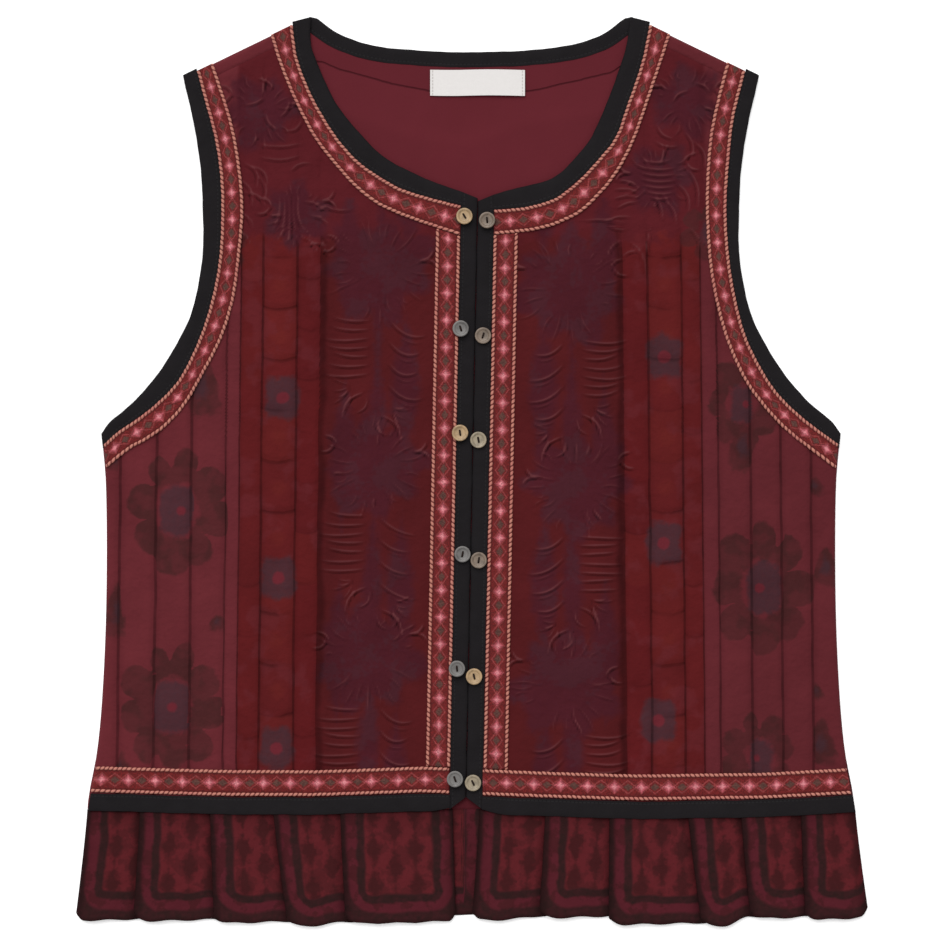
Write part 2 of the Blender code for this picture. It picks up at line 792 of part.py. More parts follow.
def make_shoulder(half):
    """The shoulder of the back, folded over to meet the front at its seam."""
    arm = offset(half.arm, ARM_BAND + GAP)
    neck = offset(half.neck, NECK_BAND + GAP)
    outer = between(half.fold, arm, neck)
    inner = between(half.seam, arm, neck)
    add_band("back_shoulder_" + half.name, even_steps(outer, 0.030), SHOULDER_FOLD, FOLD,
             level(0.0), FRONT_LOW + FRONT_WALL, WINE, half.sign,
             {0: inner[0] - outer[0], -1: inner[-1] - outer[-1]})


# The ruffle

def pleat_path(pleats, share):
    """The middle of the pleated cloth at one level, from its left to its right.

    Each point is its place across, its height, and how near it is to a fold edge.
    """
    gap = PLEAT_GAP + PLEAT_OPENING * share
    layer = PLEAT_WALL + gap
    base = PLEAT_BASE + PLEAT_WALL / 2
    edges = [pleat.top_x + (pleat.hem_x - pleat.top_x) * share for pleat in pleats]
    top = base + 2 * layer
    path = [(edges[0], base + 0.3 * layer, 1.0)]
    path.append((edges[0] + 0.0035, base + 1.6 * layer, 0.5))
    for i in range(1, len(edges) - 1):
        edge = edges[i]
        start = path[-1][0]
        if i > 1:
            start = edges[i - 1] + PLEAT_DEPTH + 0.0020
            path.append((start, top, 0.0))
        path.append((start + (edge - start) * 0.6, base + 1.0 * layer, 0.0))
        path.append((edge - 0.0022, base, 0.0))
        path.append((edge + PLEAT_DEPTH, base, 0.0))
        path.append((edge + PLEAT_DEPTH + layer / 2, base + layer / 2, 0.0))
        path.append((edge + PLEAT_DEPTH, base + layer, 0.0))
        path.append((edge + layer / 2, base + layer, 0.8))
        path.append((edge, base + 1.5 * layer, 1.0))
        path.append((edge + layer / 2, top, 0.8))
    path.append((edges[-2] + PLEAT_DEPTH + 0.0020, top, 0.0))
    path.append((edges[-1] - 0.0040, base + 0.9 * layer, 0.3))
    path.append((edges[-1], base + 0.3 * layer, 0.8))
    return path


def hem_level(pleats, x, share):
    """How low the hem hangs at a place across."""
    edges = [pleat.top_x + (pleat.hem_x - pleat.top_x) * share for pleat in pleats]
    for i in range(len(edges) - 1):
        if x < edges[i + 1] or i == len(edges) - 2:
            part = (x - edges[i]) / (edges[i + 1] - edges[i])
            part = min(1.0, max(0.0, part))
            return pleats[i].hem_y + 0.0012 * part
    return pleats[-1].hem_y


def make_ruffle(name, pleats):
    """A knife pleated ruffle as one folded wall."""
    rows = []
    for share in PLEAT_ROWS:
        path = pleat_path(pleats, share)
        flat = [Vector((x, z)) for x, z, edge in path]
        sides = []
        for way in (1, -1):
            side = []
            for i, point in enumerate(flat):
                before = (point - flat[max(i - 1, 0)])
                after = (flat[min(i + 1, len(flat) - 1)] - point)
                if i == 0:
                    before = after
                if i == len(flat) - 1:
                    after = before
                before = before.normalized()
                after = after.normalized()
                turn = (before + after).normalized()
                normal = Vector((-turn.y, turn.x))
                stretch = 1.0 / max(0.75, normal.dot(Vector((-before.y, before.x))))
                moved = point + way * PLEAT_WALL / 2 * stretch * normal
                drop = hem_level(pleats, point.x, share) + PLEAT_CORNER * path[i][2] ** 2
                y = RUFFLE_TOP_Y + (drop - RUFFLE_TOP_Y) * share
                side.append((moved.x, y, max(moved.y, 0.0)))
            sides.append(side)
        rows.append(sides[0] + list(reversed(sides[1])))
    count = len(rows[0])
    points = [point for row in rows for point in row]
    faces = []
    for r in range(len(rows) - 1):
        for j in range(count):
            k = (j + 1) % count
            faces.append((r * count + k, r * count + j, (r + 1) * count + j, (r + 1) * count + k))
    last = (len(rows) - 1) * count
    for j in range(count // 2 - 1):
        k = count - 1 - j
        faces.append((j, j + 1, k - 1, k))
        faces.append((last + j + 1, last + j, last + k, last + k - 1))
    return add_solid(name, points, faces, BLOCK)


def make_back_ruffle(half):
    """The back ruffle, pressed flat under the others."""
    top_x = half.side[0].x - 0.0045
    hem_x = 0.2528
    count = 14
    hem = [Vector((-hem_x + 2 * hem_x * i / count,
                   BACK_RUFFLE_HEM_Y + 0.0012 * (i % 2))) for i in range(count + 1)]
    rim = [Vector((-top_x, RUFFLE_TOP_Y)), *hem, Vector((top_x, RUFFLE_TOP_Y))]
    add_wall("ruffle_back", rim, level(0.0010), level(0.0), [], [], BLOCK)


# Buttons and label

def ring_points(radius, height, sides):
    """Points round a circle at a height."""
    return [(radius * math.cos(2 * math.pi * i / sides), radius * math.sin(2 * math.pi * i / sides),
             height) for i in range(sides)]


def button_mesh():
    """A dished round button with two sewing holes."""
    r = BUTTON_RADIUS
    rings = [(0.80 * r, 0.0), (r, 0.0007), (0.96 * r, 0.0019), (0.78 * r, 0.0022),
             (0.62 * r, 0.0014)]
    points = []
    for radius, height in rings:
        points.extend(ring_points(radius, height, BUTTON_SIDES))
    faces = []
    for ring in range(len(rings) - 1):
        for i in range(BUTTON_SIDES):
            j = (i + 1) % BUTTON_SIDES
            a, b = ring * BUTTON_SIDES, (ring + 1) * BUTTON_SIDES
            faces.append((a + i, a + j, b + j, b + i))
    sides = BUTTON_HOLE_SIDES
    holes = []
    for way in (1, -1):
        for height in (0.0, 0.0014):
            start = len(points)
            for x, y, z in ring_points(BUTTON_HOLE, height, sides):
                points.append((x, y + way * BUTTON_HOLE_OUT, z))
            holes.append(start)
    for low, high in (holes[:2], holes[2:]):
        for i in range(sides):
            j = (i + 1) % sides
            faces.append((low + j, low + i, high + i, high + j))
    outer_low, outer_high = 0, (len(rings) - 1) * BUTTON_SIDES
    for outer, first, second, up in ((outer_low, holes[0], holes[2], False),
                                     (outer_high, holes[1], holes[3], True)):
        loops = [list(range(outer, outer + BUTTON_SIDES)),
                 list(range(first, first + sides)), list(range(second, second + sides))]
        index = [i for loop in loops for i in loop]
        flat = [Vector(points[i][:2]) for i in index]
        edges = []
        at = 0
        for loop in loops:
            size = len(loop)
            edges.extend((at + i, at + (i + 1) % size) for i in range(size))
            at += size
        found = delaunay_2d_cdt(flat, edges, [], 0, 0.00001)
        for face in found[2]:
            middle = sum((found[0][i] for i in face), Vector((0, 0))) / len(face)
            if min(abs((middle - Vector((0, way * BUTTON_HOLE_OUT))).length)
                   for way in (1, -1)) < BUTTON_HOLE * 0.8:
                continue
            real = tuple(index[found[3][i][0]] for i in face)
            turned = area_of(found[0], tuple(face)) > 0
            faces.append(real if turned == up else tuple(reversed(real)))
    mesh = bpy.data.meshes.new("button")
    mesh.from_pydata(points, [], faces)
    mesh.update()
    mesh.materials.append(paint(HORN))
    return mesh


def button_level(x, y):
    """How high a button sits: on its centre band, or on the braid where it reaches that."""
    share = (CENTRE_TOP.y - y) / (CENTRE_TOP.y - CENTRE_HEM.y)
    middle = CENTRE_TOP.lerp(CENTRE_HEM, share).x
    if abs(x - middle) + BUTTON_RADIUS > CENTRE_BAND + BRAID_MARGIN + 2 * GAP:
        return FRONT_LOW + FRONT_WALL + BRAID_LIFT + BRAID_CORD * BRAID_WALL + GAP
    return FRONT_BAND_TOP + GAP


def make_buttons():
    """Six pairs of buttons, sewn to the two centre bands."""
    mesh = button_mesh()
    for number, row in enumerate(BUTTONS, start=1):
        for side, x, y in (("left", row.left_x, row.left_y), ("right", row.right_x, row.right_y)):
            button = bpy.data.objects.new("button_%s_%d" % (side, number), mesh)
            button.location = (x, y, button_level(x, y))
            bpy.context.scene.collection.objects.link(button)


def make_label():
    """The blank woven label inside the back neck."""
    low = BACK_WALL + GAP
    xs, ys = LABEL_X, LABEL_Y
    rim = [Vector((xs[0], ys[0])), Vector((xs[1], ys[0])), Vector((xs[1], ys[1])),
           Vector((xs[0], ys[1]))]
    add_wall("label", rim, level(low + LABEL_WALL), level(low), [], [], WHITE)


def main():
    """Clear the scene and make the vest."""
    for old in list(bpy.data.objects):
        bpy.data.objects.remove(old)
    right = Half(1, "right")
    left = Half(-1, "left")
    make_back(right)
    make_label()
    make_back_ruffle(right)
    make_ruffle("ruffle_left", LEFT_RUFFLE)
    make_ruffle("ruffle_right", RIGHT_RUFFLE)
    make_front(right)
    make_front(left)
    make_buttons()


main()
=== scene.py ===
"""Looks of a short folk vest that lies flat on its back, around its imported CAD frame.

Metres. X runs to the right as the vest is seen from above, Y from hem to neck, Z up.
Each half of the front is worked out in its own half plane, where x counts outward
from the middle of the vest, and is mirrored to its side.
"""

import logging
import math
from collections.abc import Callable
from dataclasses import dataclass, field
from enum import Enum

import bpy
import numpy as np
from mathutils import Matrix, Vector
from mathutils.geometry import delaunay_2d_cdt, intersect_line_line_2d


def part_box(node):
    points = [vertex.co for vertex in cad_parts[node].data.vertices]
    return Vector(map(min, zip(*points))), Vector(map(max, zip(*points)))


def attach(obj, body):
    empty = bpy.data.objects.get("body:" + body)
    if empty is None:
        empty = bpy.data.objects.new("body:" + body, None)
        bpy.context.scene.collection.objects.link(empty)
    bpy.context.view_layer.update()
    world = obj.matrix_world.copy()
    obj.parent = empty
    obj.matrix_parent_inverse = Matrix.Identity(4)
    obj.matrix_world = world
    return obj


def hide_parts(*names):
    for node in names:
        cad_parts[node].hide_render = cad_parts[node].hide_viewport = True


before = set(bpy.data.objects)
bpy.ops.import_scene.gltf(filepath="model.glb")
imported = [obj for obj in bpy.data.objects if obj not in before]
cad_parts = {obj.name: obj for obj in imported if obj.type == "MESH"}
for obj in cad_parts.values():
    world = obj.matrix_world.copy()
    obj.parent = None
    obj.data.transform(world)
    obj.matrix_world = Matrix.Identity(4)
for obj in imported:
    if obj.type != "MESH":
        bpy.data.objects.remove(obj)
LOG = logging.getLogger("vest")
MM = 0.001
BODY = "root"
Line = np.ndarray
Colour = tuple[float, float, float]


class Side(Enum):
    """One half of the vest as it is seen from above, with the sign of its x."""

    LEFT = -1
    RIGHT = 1

    @property
    def label(self) -> str:
        """The side's word in piece names."""
        return self.name.lower()


# Heights of the layers, from bottom to top

@dataclass(frozen=True)
class Layers:
    """How high each layer of the flat vest lies."""

    gap: float = 0.0003
    back_wall: float = 0.0017
    back_band: float = 0.0023
    front_low: float = 0.0030
    front_wall: float = 0.0018
    band_low: float = 0.0027
    band_top: float = 0.0053
    braid_lift: float = 0.0004
    hem_band: float = 0.0010
    loft: float = 0.0016
    loft_start: float = 0.018
    loft_reach: float = 0.045
    side_roll: float = 0.0040
    side_foot: float = 0.0022


@dataclass(frozen=True)
class Widths:
    """How wide the bound edges and the braids beside them are."""

    neck_band: float = 0.0092
    arm_band: float = 0.0080
    centre_band: float = 0.0098
    hem_band: float = 0.0110
    centre_braid: float = 0.0156
    hem_braid: float = 0.0168
    margin: float = 0.0008
    shoulder_fold: float = 0.0090
    shoulder_drop: float = 0.0018


LAYERS = Layers()
WIDTHS = Widths()
EDGE_STEP = 0.0095
RUN_ON = 0.0350
FRONT_HEM_Y = -0.2190
RUFFLE_TOP_Y = -0.2193
HEM_BAND_LOW_Y = -0.2213
HEM_CORNER = 0.0026

SIDE_ROWS = ((0.2499, -0.2330), (0.2483, -0.2110), (0.2428, -0.1817), (0.2392, -0.1427),
             (0.2368, -0.0840), (0.2370, -0.0100), (0.2398, 0.0245))
ARM_ROWS = ((0.2398, 0.0245), (0.2337, 0.0328), (0.2213, 0.0426), (0.2041, 0.0621),
            (0.1914, 0.0816), (0.1804, 0.1060), (0.1742, 0.1400), (0.1742, 0.1791),
            (0.1774, 0.2130), (0.1868, 0.2571))
NECK_ROWS = {
    Side.LEFT: ((0.1040, 0.2948), (0.1040, 0.2772), (0.0956, 0.2545), (0.0852, 0.2350),
                (0.0689, 0.2155), (0.0546, 0.2025), (0.0310, 0.1905), (0.0120, 0.1835),
                (-0.0010, 0.1790)),
    Side.RIGHT: ((0.1035, 0.2948), (0.1014, 0.2772), (0.0940, 0.2545), (0.0868, 0.2350),
                 (0.0774, 0.2155), (0.0670, 0.2025), (0.0540, 0.1905), (0.0290, 0.1835),
                 (0.0130, 0.1790)),
}
# The middles of each curved braid's two cords, the one by the tape first
NECK_CORDS = {
    Side.LEFT: (((0.1164, 0.2873), (0.1138, 0.2678), (0.1092, 0.2548), (0.1036, 0.2418),
                 (0.0962, 0.2288), (0.0878, 0.2158), (0.0766, 0.2028), (0.0689, 0.1963),
                 (0.0586, 0.1898), (0.0475, 0.1833), (0.0275, 0.1768), (0.0125, 0.1730)),
                ((0.1290, 0.2834), (0.1243, 0.2678), (0.1192, 0.2548), (0.1138, 0.2418),
                 (0.1073, 0.2288), (0.1003, 0.2158), (0.0900, 0.2028), (0.0790, 0.1898),
                 (0.0652, 0.1768), (0.0530, 0.1703), (0.0370, 0.1638), (0.0163, 0.1568))),
    Side.RIGHT: (((0.1157, 0.2841), (0.1125, 0.2678), (0.1086, 0.2548), (0.1040, 0.2418),
                  (0.0995, 0.2288), (0.0947, 0.2158), (0.0842, 0.2028), (0.0722, 0.1898),
                  (0.0646, 0.1833), (0.0560, 0.1768), (0.0360, 0.1706), (0.0163, 0.1688)),
                 ((0.1274, 0.2808), (0.1232, 0.2678), (0.1187, 0.2548), (0.1122, 0.2353),
                  (0.1052, 0.2158), (0.0991, 0.2028), (0.0914, 0.1898), (0.0799, 0.1768),
                  (0.0738, 0.1703), (0.0617, 0.1638), (0.0463, 0.1580), (0.0163, 0.1545))),
}
ARM_CORDS = {
    Side.LEFT: (((0.2374, 0.0165), (0.2295, 0.0241), (0.2152, 0.0338), (0.1996, 0.0468),
                 (0.1879, 0.0598), (0.1752, 0.0858), (0.1670, 0.1118), (0.1622, 0.1378),
                 (0.1609, 0.1638), (0.1614, 0.1898), (0.1650, 0.2158), (0.1718, 0.2418),
                 (0.1768, 0.2613)),
                ((0.2353, 0.0046), (0.2256, 0.0130), (0.2061, 0.0241), (0.1944, 0.0338),
                 (0.1840, 0.0468), (0.1768, 0.0598), (0.1630, 0.0858), (0.1548, 0.1118),
                 (0.1512, 0.1378), (0.1486, 0.1703), (0.1515, 0.2028), (0.1567, 0.2288),
                 (0.1651, 0.2548), (0.1684, 0.2646))),
    Side.RIGHT: (((0.2366, 0.0176), (0.2275, 0.0241), (0.2148, 0.0338), (0.2009, 0.0468),
                  (0.1911, 0.0598), (0.1777, 0.0858), (0.1706, 0.1118), (0.1664, 0.1378),
                  (0.1645, 0.1703), (0.1664, 0.2028), (0.1693, 0.2288), (0.1755, 0.2548),
                  (0.1775, 0.2626)),
                 ((0.2360, 0.0033), (0.2228, 0.0133), (0.2087, 0.0241), (0.1983, 0.0338),
                  (0.1872, 0.0468), (0.1781, 0.0598), (0.1665, 0.0858), (0.1594, 0.1118),
                  (0.1552, 0.1378), (0.1533, 0.1768), (0.1556, 0.2158), (0.1608, 0.2418),
                  (0.1667, 0.2646))),
}
CORD_INSET = 0.0009
ARM_TAPE_END = np.array((-0.0010, -0.0088))
FLIP = np.array((-1.0, 1.0))
BRAID_STEP = 0.0105
NO_INK = -8.0
BACK_NECK_ROWS = ((0.0, 0.2722), (0.0306, 0.2732), (0.0618, 0.2764), (0.0850, 0.2837),
                  (0.1010, 0.2948))
SHOULDER_NECK = np.array((0.1092, 0.2948))
SHOULDER_TIP = np.array((0.1868, 0.2571))
CENTRE_TOP = np.array((0.0044, 0.1740))
CENTRE_HEM = np.array((-0.0033, -0.2130))


# Lines in the plane

def even_steps(line: Line, step: float) -> Line:
    """Space a line's points evenly.

    Args:
        line: The points of the line.
        step: About how far apart the points are wanted.

    Returns:
        The evenly spaced points.
    """
    line = np.asarray(line, float)
    at = walked(line)
    count = max(1, round(at[-1] / step))
    wanted = np.linspace(0.0, at[-1], count + 1)
    return np.stack([np.interp(wanted, at, line[:, k]) for k in range(line.shape[1])], 1)


def walked(line: Line) -> np.ndarray:
    """The distance along a line at each of its points."""
    steps = np.linalg.norm(np.diff(line, axis=0), axis=1)
    return np.concatenate([[0.0], np.cumsum(steps)])


def curve_through(knots: Line, at: np.ndarray, wanted: np.ndarray) -> Line:
    """Values of a smooth curve through knots.

    Args:
        knots: The knots, one row each.
        at: The parameter of each knot.
        wanted: The parameters that values are wanted at.

    Returns:
        One row for each wanted parameter.
    """
    slopes = np.empty_like(knots)
    slopes[1:-1] = (knots[2:] - knots[:-2]) / (at[2:] - at[:-2])[:, None]
    slopes[0] = (knots[1] - knots[0]) / (at[1] - at[0])
    slopes[-1] = (knots[-1] - knots[-2]) / (at[-1] - at[-2])
    i = np.clip(np.searchsorted(at, wanted, side="right") - 1, 0, len(at) - 2)
    span = (at[i + 1] - at[i])[:, None]
    t = ((wanted - at[i]) / span[:, 0])[:, None]
    start = 2 * t ** 3 - 3 * t ** 2 + 1
    leave = t ** 3 - 2 * t ** 2 + t
    end = 3 * t ** 2 - 2 * t ** 3
    arrive = t ** 3 - t ** 2
    return (start * knots[i] + end * knots[i + 1]
            + span * (leave * slopes[i] + arrive * slopes[i + 1]))


def smooth_line(knots: tuple, step: float = EDGE_STEP) -> Line:
    """Evenly spaced points along a smooth curve through the knots."""
    points = np.array(knots, float)
    at = walked(points)
    dense = []
    pieces = 12
    for i in range(len(at) - 1):
        dense.extend(at[i] + (at[i + 1] - at[i]) * np.arange(pieces) / pieces)
    dense.append(at[-1])
    return even_steps(curve_through(points, at, np.array(dense)), step)


def left_normals(line: Line) -> Line:
    """The unit vector to the left of a line at each of its points."""
    way = np.empty_like(line)
    way[1:-1] = line[2:] - line[:-2]
    way[0] = line[1] - line[0]
    way[-1] = line[-1] - line[-2]
    way /= np.linalg.norm(way, axis=1)[:, None]
    return np.stack([-way[:, 1], way[:, 0]], 1)


def offset(line: Line, distance: float) -> Line:
    """The line moved to its left."""
    return line + distance * left_normals(line)


def extended(line: Line, amount: float = RUN_ON) -> Line:
    """The line run on straight past both ends."""
    start = line[0] - line[1]
    end = line[-1] - line[-2]
    return np.vstack([line[0] + start / np.linalg.norm(start) * amount, line,
                      line[-1] + end / np.linalg.norm(end) * amount])


def meet(first: Line, second: Line) -> tuple[Line, Line]:
    """Cut two lines back to the point where they cross.

    Args:
        first: A line that ends past the crossing.
        second: A line that starts before the crossing.

    Returns:
        The first line up to the crossing, and the second from there on.
    """
    a = [Vector(p) for p in first]
    b = [Vector(p) for p in second]
    for i in range(len(a) - 1, 0, -1):
        for j in range(len(b) - 1):
            point = intersect_line_line_2d(a[i - 1], a[i], b[j], b[j + 1])
            if point is not None:
                here = np.array(point)
                return np.vstack([first[:i], here]), np.vstack([here, second[j + 1:]])
    raise ValueError("these edges don't meet")


def between(line: Line, first: Line, last: Line) -> Line:
    """The part of a line between its crossings with two other lines."""
    trimmed = meet(extended(first), extended(line))[1]
    return meet(trimmed, extended(last))[0]


def closed(line: Line) -> Line:
    """A line with its first point again at its end."""
    return np.vstack([line, line[:1]])


def cut_round(lines: list[Line]) -> list[Line]:
    """Edges in order round a panel, each cut back to where it crosses the next."""
    lines = [extended(line) for line in lines]
    for i in range(len(lines)):
        following = (i + 1) % len(lines)
        lines[i], lines[following] = meet(lines[i], lines[following])
    return lines


def nearest(points: np.ndarray, line: Line) -> tuple[np.ndarray, np.ndarray, np.ndarray]:
    """Measure points against a line.

    Args:
        points: The points, one row each.
        line: The line.

    Returns:
        Each point's distance to the line, the share of the way along it where that is,
        and which side the point lies on, above 0 to the left.
    """
    a, d = line[:-1], np.diff(line, axis=0)
    length = (d ** 2).sum(1)
    at = walked(line)
    gaps, shares, sides = [], [], []
    chunk = 20000
    for start in range(0, len(points), chunk):
        p = points[start:start + chunk, None, :2] - a
        t = np.clip((p * d).sum(2) / length, 0.0, 1.0)
        away = p - t[..., None] * d
        gap = (away ** 2).sum(2)
        k = gap.argmin(1)
        rows = np.arange(len(k))
        gaps.append(np.sqrt(gap[rows, k]))
        shares.append((at[k] + t[rows, k] * np.sqrt(length[k])) / at[-1])
        sides.append(np.sign(d[k, 0] * p[rows, k, 1] - d[k, 1] * p[rows, k, 0]))
    return np.concatenate(gaps), np.concatenate(shares), np.concatenate(sides)


def ease(value: np.ndarray) -> np.ndarray:
    """A smooth step from 0 to 1."""
    value = np.clip(value, 0.0, 1.0)
    return value * value * (3 - 2 * value)


def wander(along: np.ndarray, seed: float, wave: float) -> np.ndarray:
    """A soft uneven wave from -1 to 1 along a line, the same at each run."""
    turn = 2 * math.pi / wave
    return (0.5 * np.sin(along * turn + seed) + 0.3 * np.sin(along * turn * 2.3 + 2.1 * seed)
            + 0.2 * np.sin(along * turn * 4.7 + 3.7 * seed))


def ripple(points: np.ndarray, seed: float, wave: float) -> np.ndarray:
    """A soft uneven swell from about -1 to 1 over a surface."""
    turn = 2 * math.pi / wave
    total = np.zeros(len(points))
    for k in range(5):
        angle = seed * 1.7 + k * 2.4
        way = points[:, 0] * math.cos(angle) + points[:, 1] * math.sin(angle)
        total += np.sin(way * turn * (0.7 + 0.25 * k) + seed * (k + 1)) / 5
    return 1.6 * total


# Meshes

def link(made: bpy.types.Object) -> bpy.types.Object:
    """Put an object in the scene."""
    bpy.context.scene.collection.objects.link(made)
    return made


@dataclass
class Cloth:
    """Points, faces and surface values of one piece before it becomes a mesh."""

    points: np.ndarray
    faces: list
    values: dict[str, np.ndarray] = field(default_factory=dict)
    slots: list[int] = field(default_factory=list)

    def mirrored(self, side: Side) -> "Cloth":
        """The same piece on its own side of the vest."""
        if side is Side.RIGHT:
            return self
        points = self.points * np.array((-1.0, 1.0, 1.0))
        faces = [tuple(face)[::-1] for face in self.faces]
        return Cloth(points, faces, self.values, self.slots)

    def joined(self, other: "Cloth") -> "Cloth":
        """This piece and another as one mesh, with the other's slots as they are."""
        base = len(self.points)
        faces = list(self.faces) + [tuple(base + i for i in face) for face in other.faces]
        values = {}
        for name in {**self.values, **other.values}:
            values[name] = np.concatenate([
                self.values.get(name, np.zeros(base)),
                other.values.get(name, np.zeros(len(other.points)))])
        slots = ((self.slots or [0] * len(self.faces))
                 + (other.slots or [0] * len(other.faces)))
        return Cloth(np.vstack([self.points, other.points]), faces, values, slots)

    def piece(self, name: str, materials: list, crisp: float = 0.0) -> bpy.types.Object:
        """Make the object.

        Args:
            name: The piece's name.
            materials: Its materials, in the order of its slots.
            crisp: The angle in degrees from which edges stay sharp, or 0 for none.

        Returns:
            The object, with its place in its mesh.
        """
        mesh = bpy.data.meshes.new(name)
        mesh.from_pydata(self.points.tolist(), [], [tuple(map(int, f)) for f in self.faces])
        for material in materials:
            mesh.materials.append(material)
        if self.slots:
            mesh.polygons.foreach_set("material_index", np.array(self.slots, np.int32))
        mesh.polygons.foreach_set("use_smooth", np.ones(len(mesh.polygons), bool))
        for key, value in self.values.items():
            layer = mesh.attributes.new(key, "FLOAT", "POINT")
            layer.data.foreach_set("value", np.asarray(value, np.float32))
        mesh.update()
        if crisp:
            mesh.set_sharp_from_angle(angle=math.radians(crisp))
        return link(bpy.data.objects.new(name, mesh))


def grid_faces(rows: int, columns: int, base: int = 0, wrap: bool = False) -> list:
    """Faces of a grid of points.

    Args:
        rows: The number of rows.
        columns: The number of points in a row.
        base: The first point's index.
        wrap: Whether each row closes on itself.

    Returns:
        Four point indices a face, anticlockwise where columns run along X and rows along Y.
    """
    i = np.arange(rows - 1)[:, None]
    j = np.arange(columns if wrap else columns - 1)[None, :]
    k = (j + 1) % columns
    quads = np.stack([i * columns + j, i * columns + k, (i + 1) * columns + k,
                      (i + 1) * columns + j], -1)
    return (quads.reshape(-1, 4) + base).tolist()


def tube(rows: np.ndarray, values: dict[str, np.ndarray] | None = None) -> Cloth:
    """A closed skin over a row of rings, with its ends capped.

    Args:
        rows: The rings' points, as (rings, points in a ring, 3).
        values: Surface values in the same order, one for each point.

    Returns:
        The skin, whose rings run anticlockwise when seen from the far end.
    """
    count, around = rows.shape[:2]
    faces = grid_faces(count, around, wrap=True)
    faces.append(tuple(reversed(range(around))))
    faces.append(tuple(range((count - 1) * around, count * around)))
    return Cloth(rows.reshape(-1, 3), faces, values or {})


def shell(top: np.ndarray, low: np.ndarray, values: dict[str, np.ndarray]) -> Cloth:
    """A closed skin over two grids of points, one above the other.

    Args:
        top: The upper points, as (rows, columns, 3), with rows along Y.
        low: The lower points in the same order.
        values: Surface values of one grid, used on both.

    Returns:
        The skin.
    """
    rows, columns = top.shape[:2]
    count = rows * columns
    index = np.arange(count).reshape(rows, columns)
    ring = ring_of(index)
    faces = grid_faces(rows, columns)
    faces += [tuple(reversed(face)) for face in grid_faces(rows, columns, count)]
    faces += [(int(count + a), int(count + b), int(b), int(a))
              for a, b in zip(ring, np.roll(ring, -1))]
    both = {name: np.tile(np.ravel(value), 2) for name, value in values.items()}
    return Cloth(np.vstack([top.reshape(-1, 3), low.reshape(-1, 3)]), faces, both)


def ring_of(index: np.ndarray) -> np.ndarray:
    """The indices round a grid's border."""
    return np.concatenate([index[0, :-1], index[:-1, -1], index[-1, :0:-1], index[:0:-1, 0]])


def filled(outline: Line, inner: Line) -> tuple[Line, list]:
    """Fill an outline with triangles.

    Args:
        outline: The outline's points, in order.
        inner: Points within it that the triangles use.

    Returns:
        The outline's points and then the inner ones, and the triangles over them.
    """
    points = [Vector(p) for p in np.vstack([outline, inner])]
    ring = list(range(len(outline)))
    found = delaunay_2d_cdt(points, [], [ring], 1, 1e-7)
    origin = [ids[0] for ids in found[3]]
    faces = []
    for face in found[2]:
        ids = [origin[i] for i in face]
        a, b, c = (points[i] for i in ids[:3])
        turn = (b - a).cross(c - a)
        faces.append(tuple(ids) if turn > 0 else tuple(reversed(ids)))
    return np.array(points), faces


def within(points: np.ndarray, outline: Line) -> np.ndarray:
    """Which points lie within an outline."""
    result = np.zeros(len(points), bool)
    x, y = points[:, 0], points[:, 1]
    for a, b in zip(outline, np.roll(outline, -1, axis=0)):
        if a[1] == b[1]:
            continue
        crosses = (a[1] > y) != (b[1] > y)
        result ^= crosses & (x < a[0] + (y - a[1]) / (b[1] - a[1]) * (b[0] - a[0]))
    return result


def lattice(outline: Line, step: float, keep: float) -> Line:
    """Evenly spread points within an outline, a little way in from it."""
    low, high = outline.min(0), outline.max(0)
    xs = np.arange(low[0], high[0], step)
    ys = np.arange(low[1], high[1], step * 0.866)
    grid = np.array([(x + (j % 2) * step / 2, y) for j, y in enumerate(ys) for x in xs])
    grid = grid[within(grid, outline)]
    gap = nearest(grid, closed(outline))[0]
    return grid[gap > keep]


# Materials

def math_node(operation: str) -> Callable[..., "Number"]:
    """A method that adds one kind of Math node after a number."""
    def method(self: "Number", *others: object) -> "Number":
        """Add the node."""
        return self.math(operation, *others)
    return method


class Number:
    """A number in a material's nodes; Python's operators on it add Math nodes."""

    def __init__(self, bench: "Bench", socket: bpy.types.NodeSocket) -> None:
        """Wrap a socket of a bench's nodes."""
        self.bench = bench
        self.socket = socket

    def math(self, operation: str, *others: object, first: object = None) -> "Number":
        """Add a Math node.

        Args:
            operation: The node's operation.
            others: Its values after this one.
            first: A value that stands before this one.

        Returns:
            The node's result.
        """
        values = ([first] if first is not None else []) + [self, *others]
        node = self.bench.node("ShaderNodeMath", {"operation": operation},
                               dict(enumerate(values)))
        return Number(self.bench, node.outputs[0])

    __add__ = __radd__ = math_node("ADD")
    __sub__ = math_node("SUBTRACT")
    __mul__ = __rmul__ = math_node("MULTIPLY")
    __truediv__ = math_node("DIVIDE")
    __pow__ = math_node("POWER")
    fract = math_node("FRACT")
    floor = math_node("FLOOR")
    size = math_node("ABSOLUTE")
    sine = math_node("SINE")
    most = math_node("MAXIMUM")
    least = math_node("MINIMUM")

    def __rsub__(self, other: object) -> "Number":
        """Difference from a plain number."""
        return self.math("SUBTRACT", first=other)

    def from_middle(self) -> "Number":
        """How far the part after the point is from a half, either way."""
        return (self.fract() - 0.5).size()

    def ribs(self, pitch: float) -> "Number":
        """Rounded ribs, from 0 to 1, at each pitch along this number."""
        return (self * (math.pi / pitch)).sine().size()

    def rise(self, low: float, high: float) -> "Number":
        """A smooth step from 0 at low to 1 at high, or falling where high is below low."""
        first, last = (0.0, 1.0) if low < high else (1.0, 0.0)
        node = self.bench.node(
            "ShaderNodeMapRange", {"interpolation_type": "SMOOTHSTEP", "clamp": True},
            {0: self, 1: min(low, high), 2: max(low, high), 3: first, 4: last})
        return Number(self.bench, node.outputs[0])


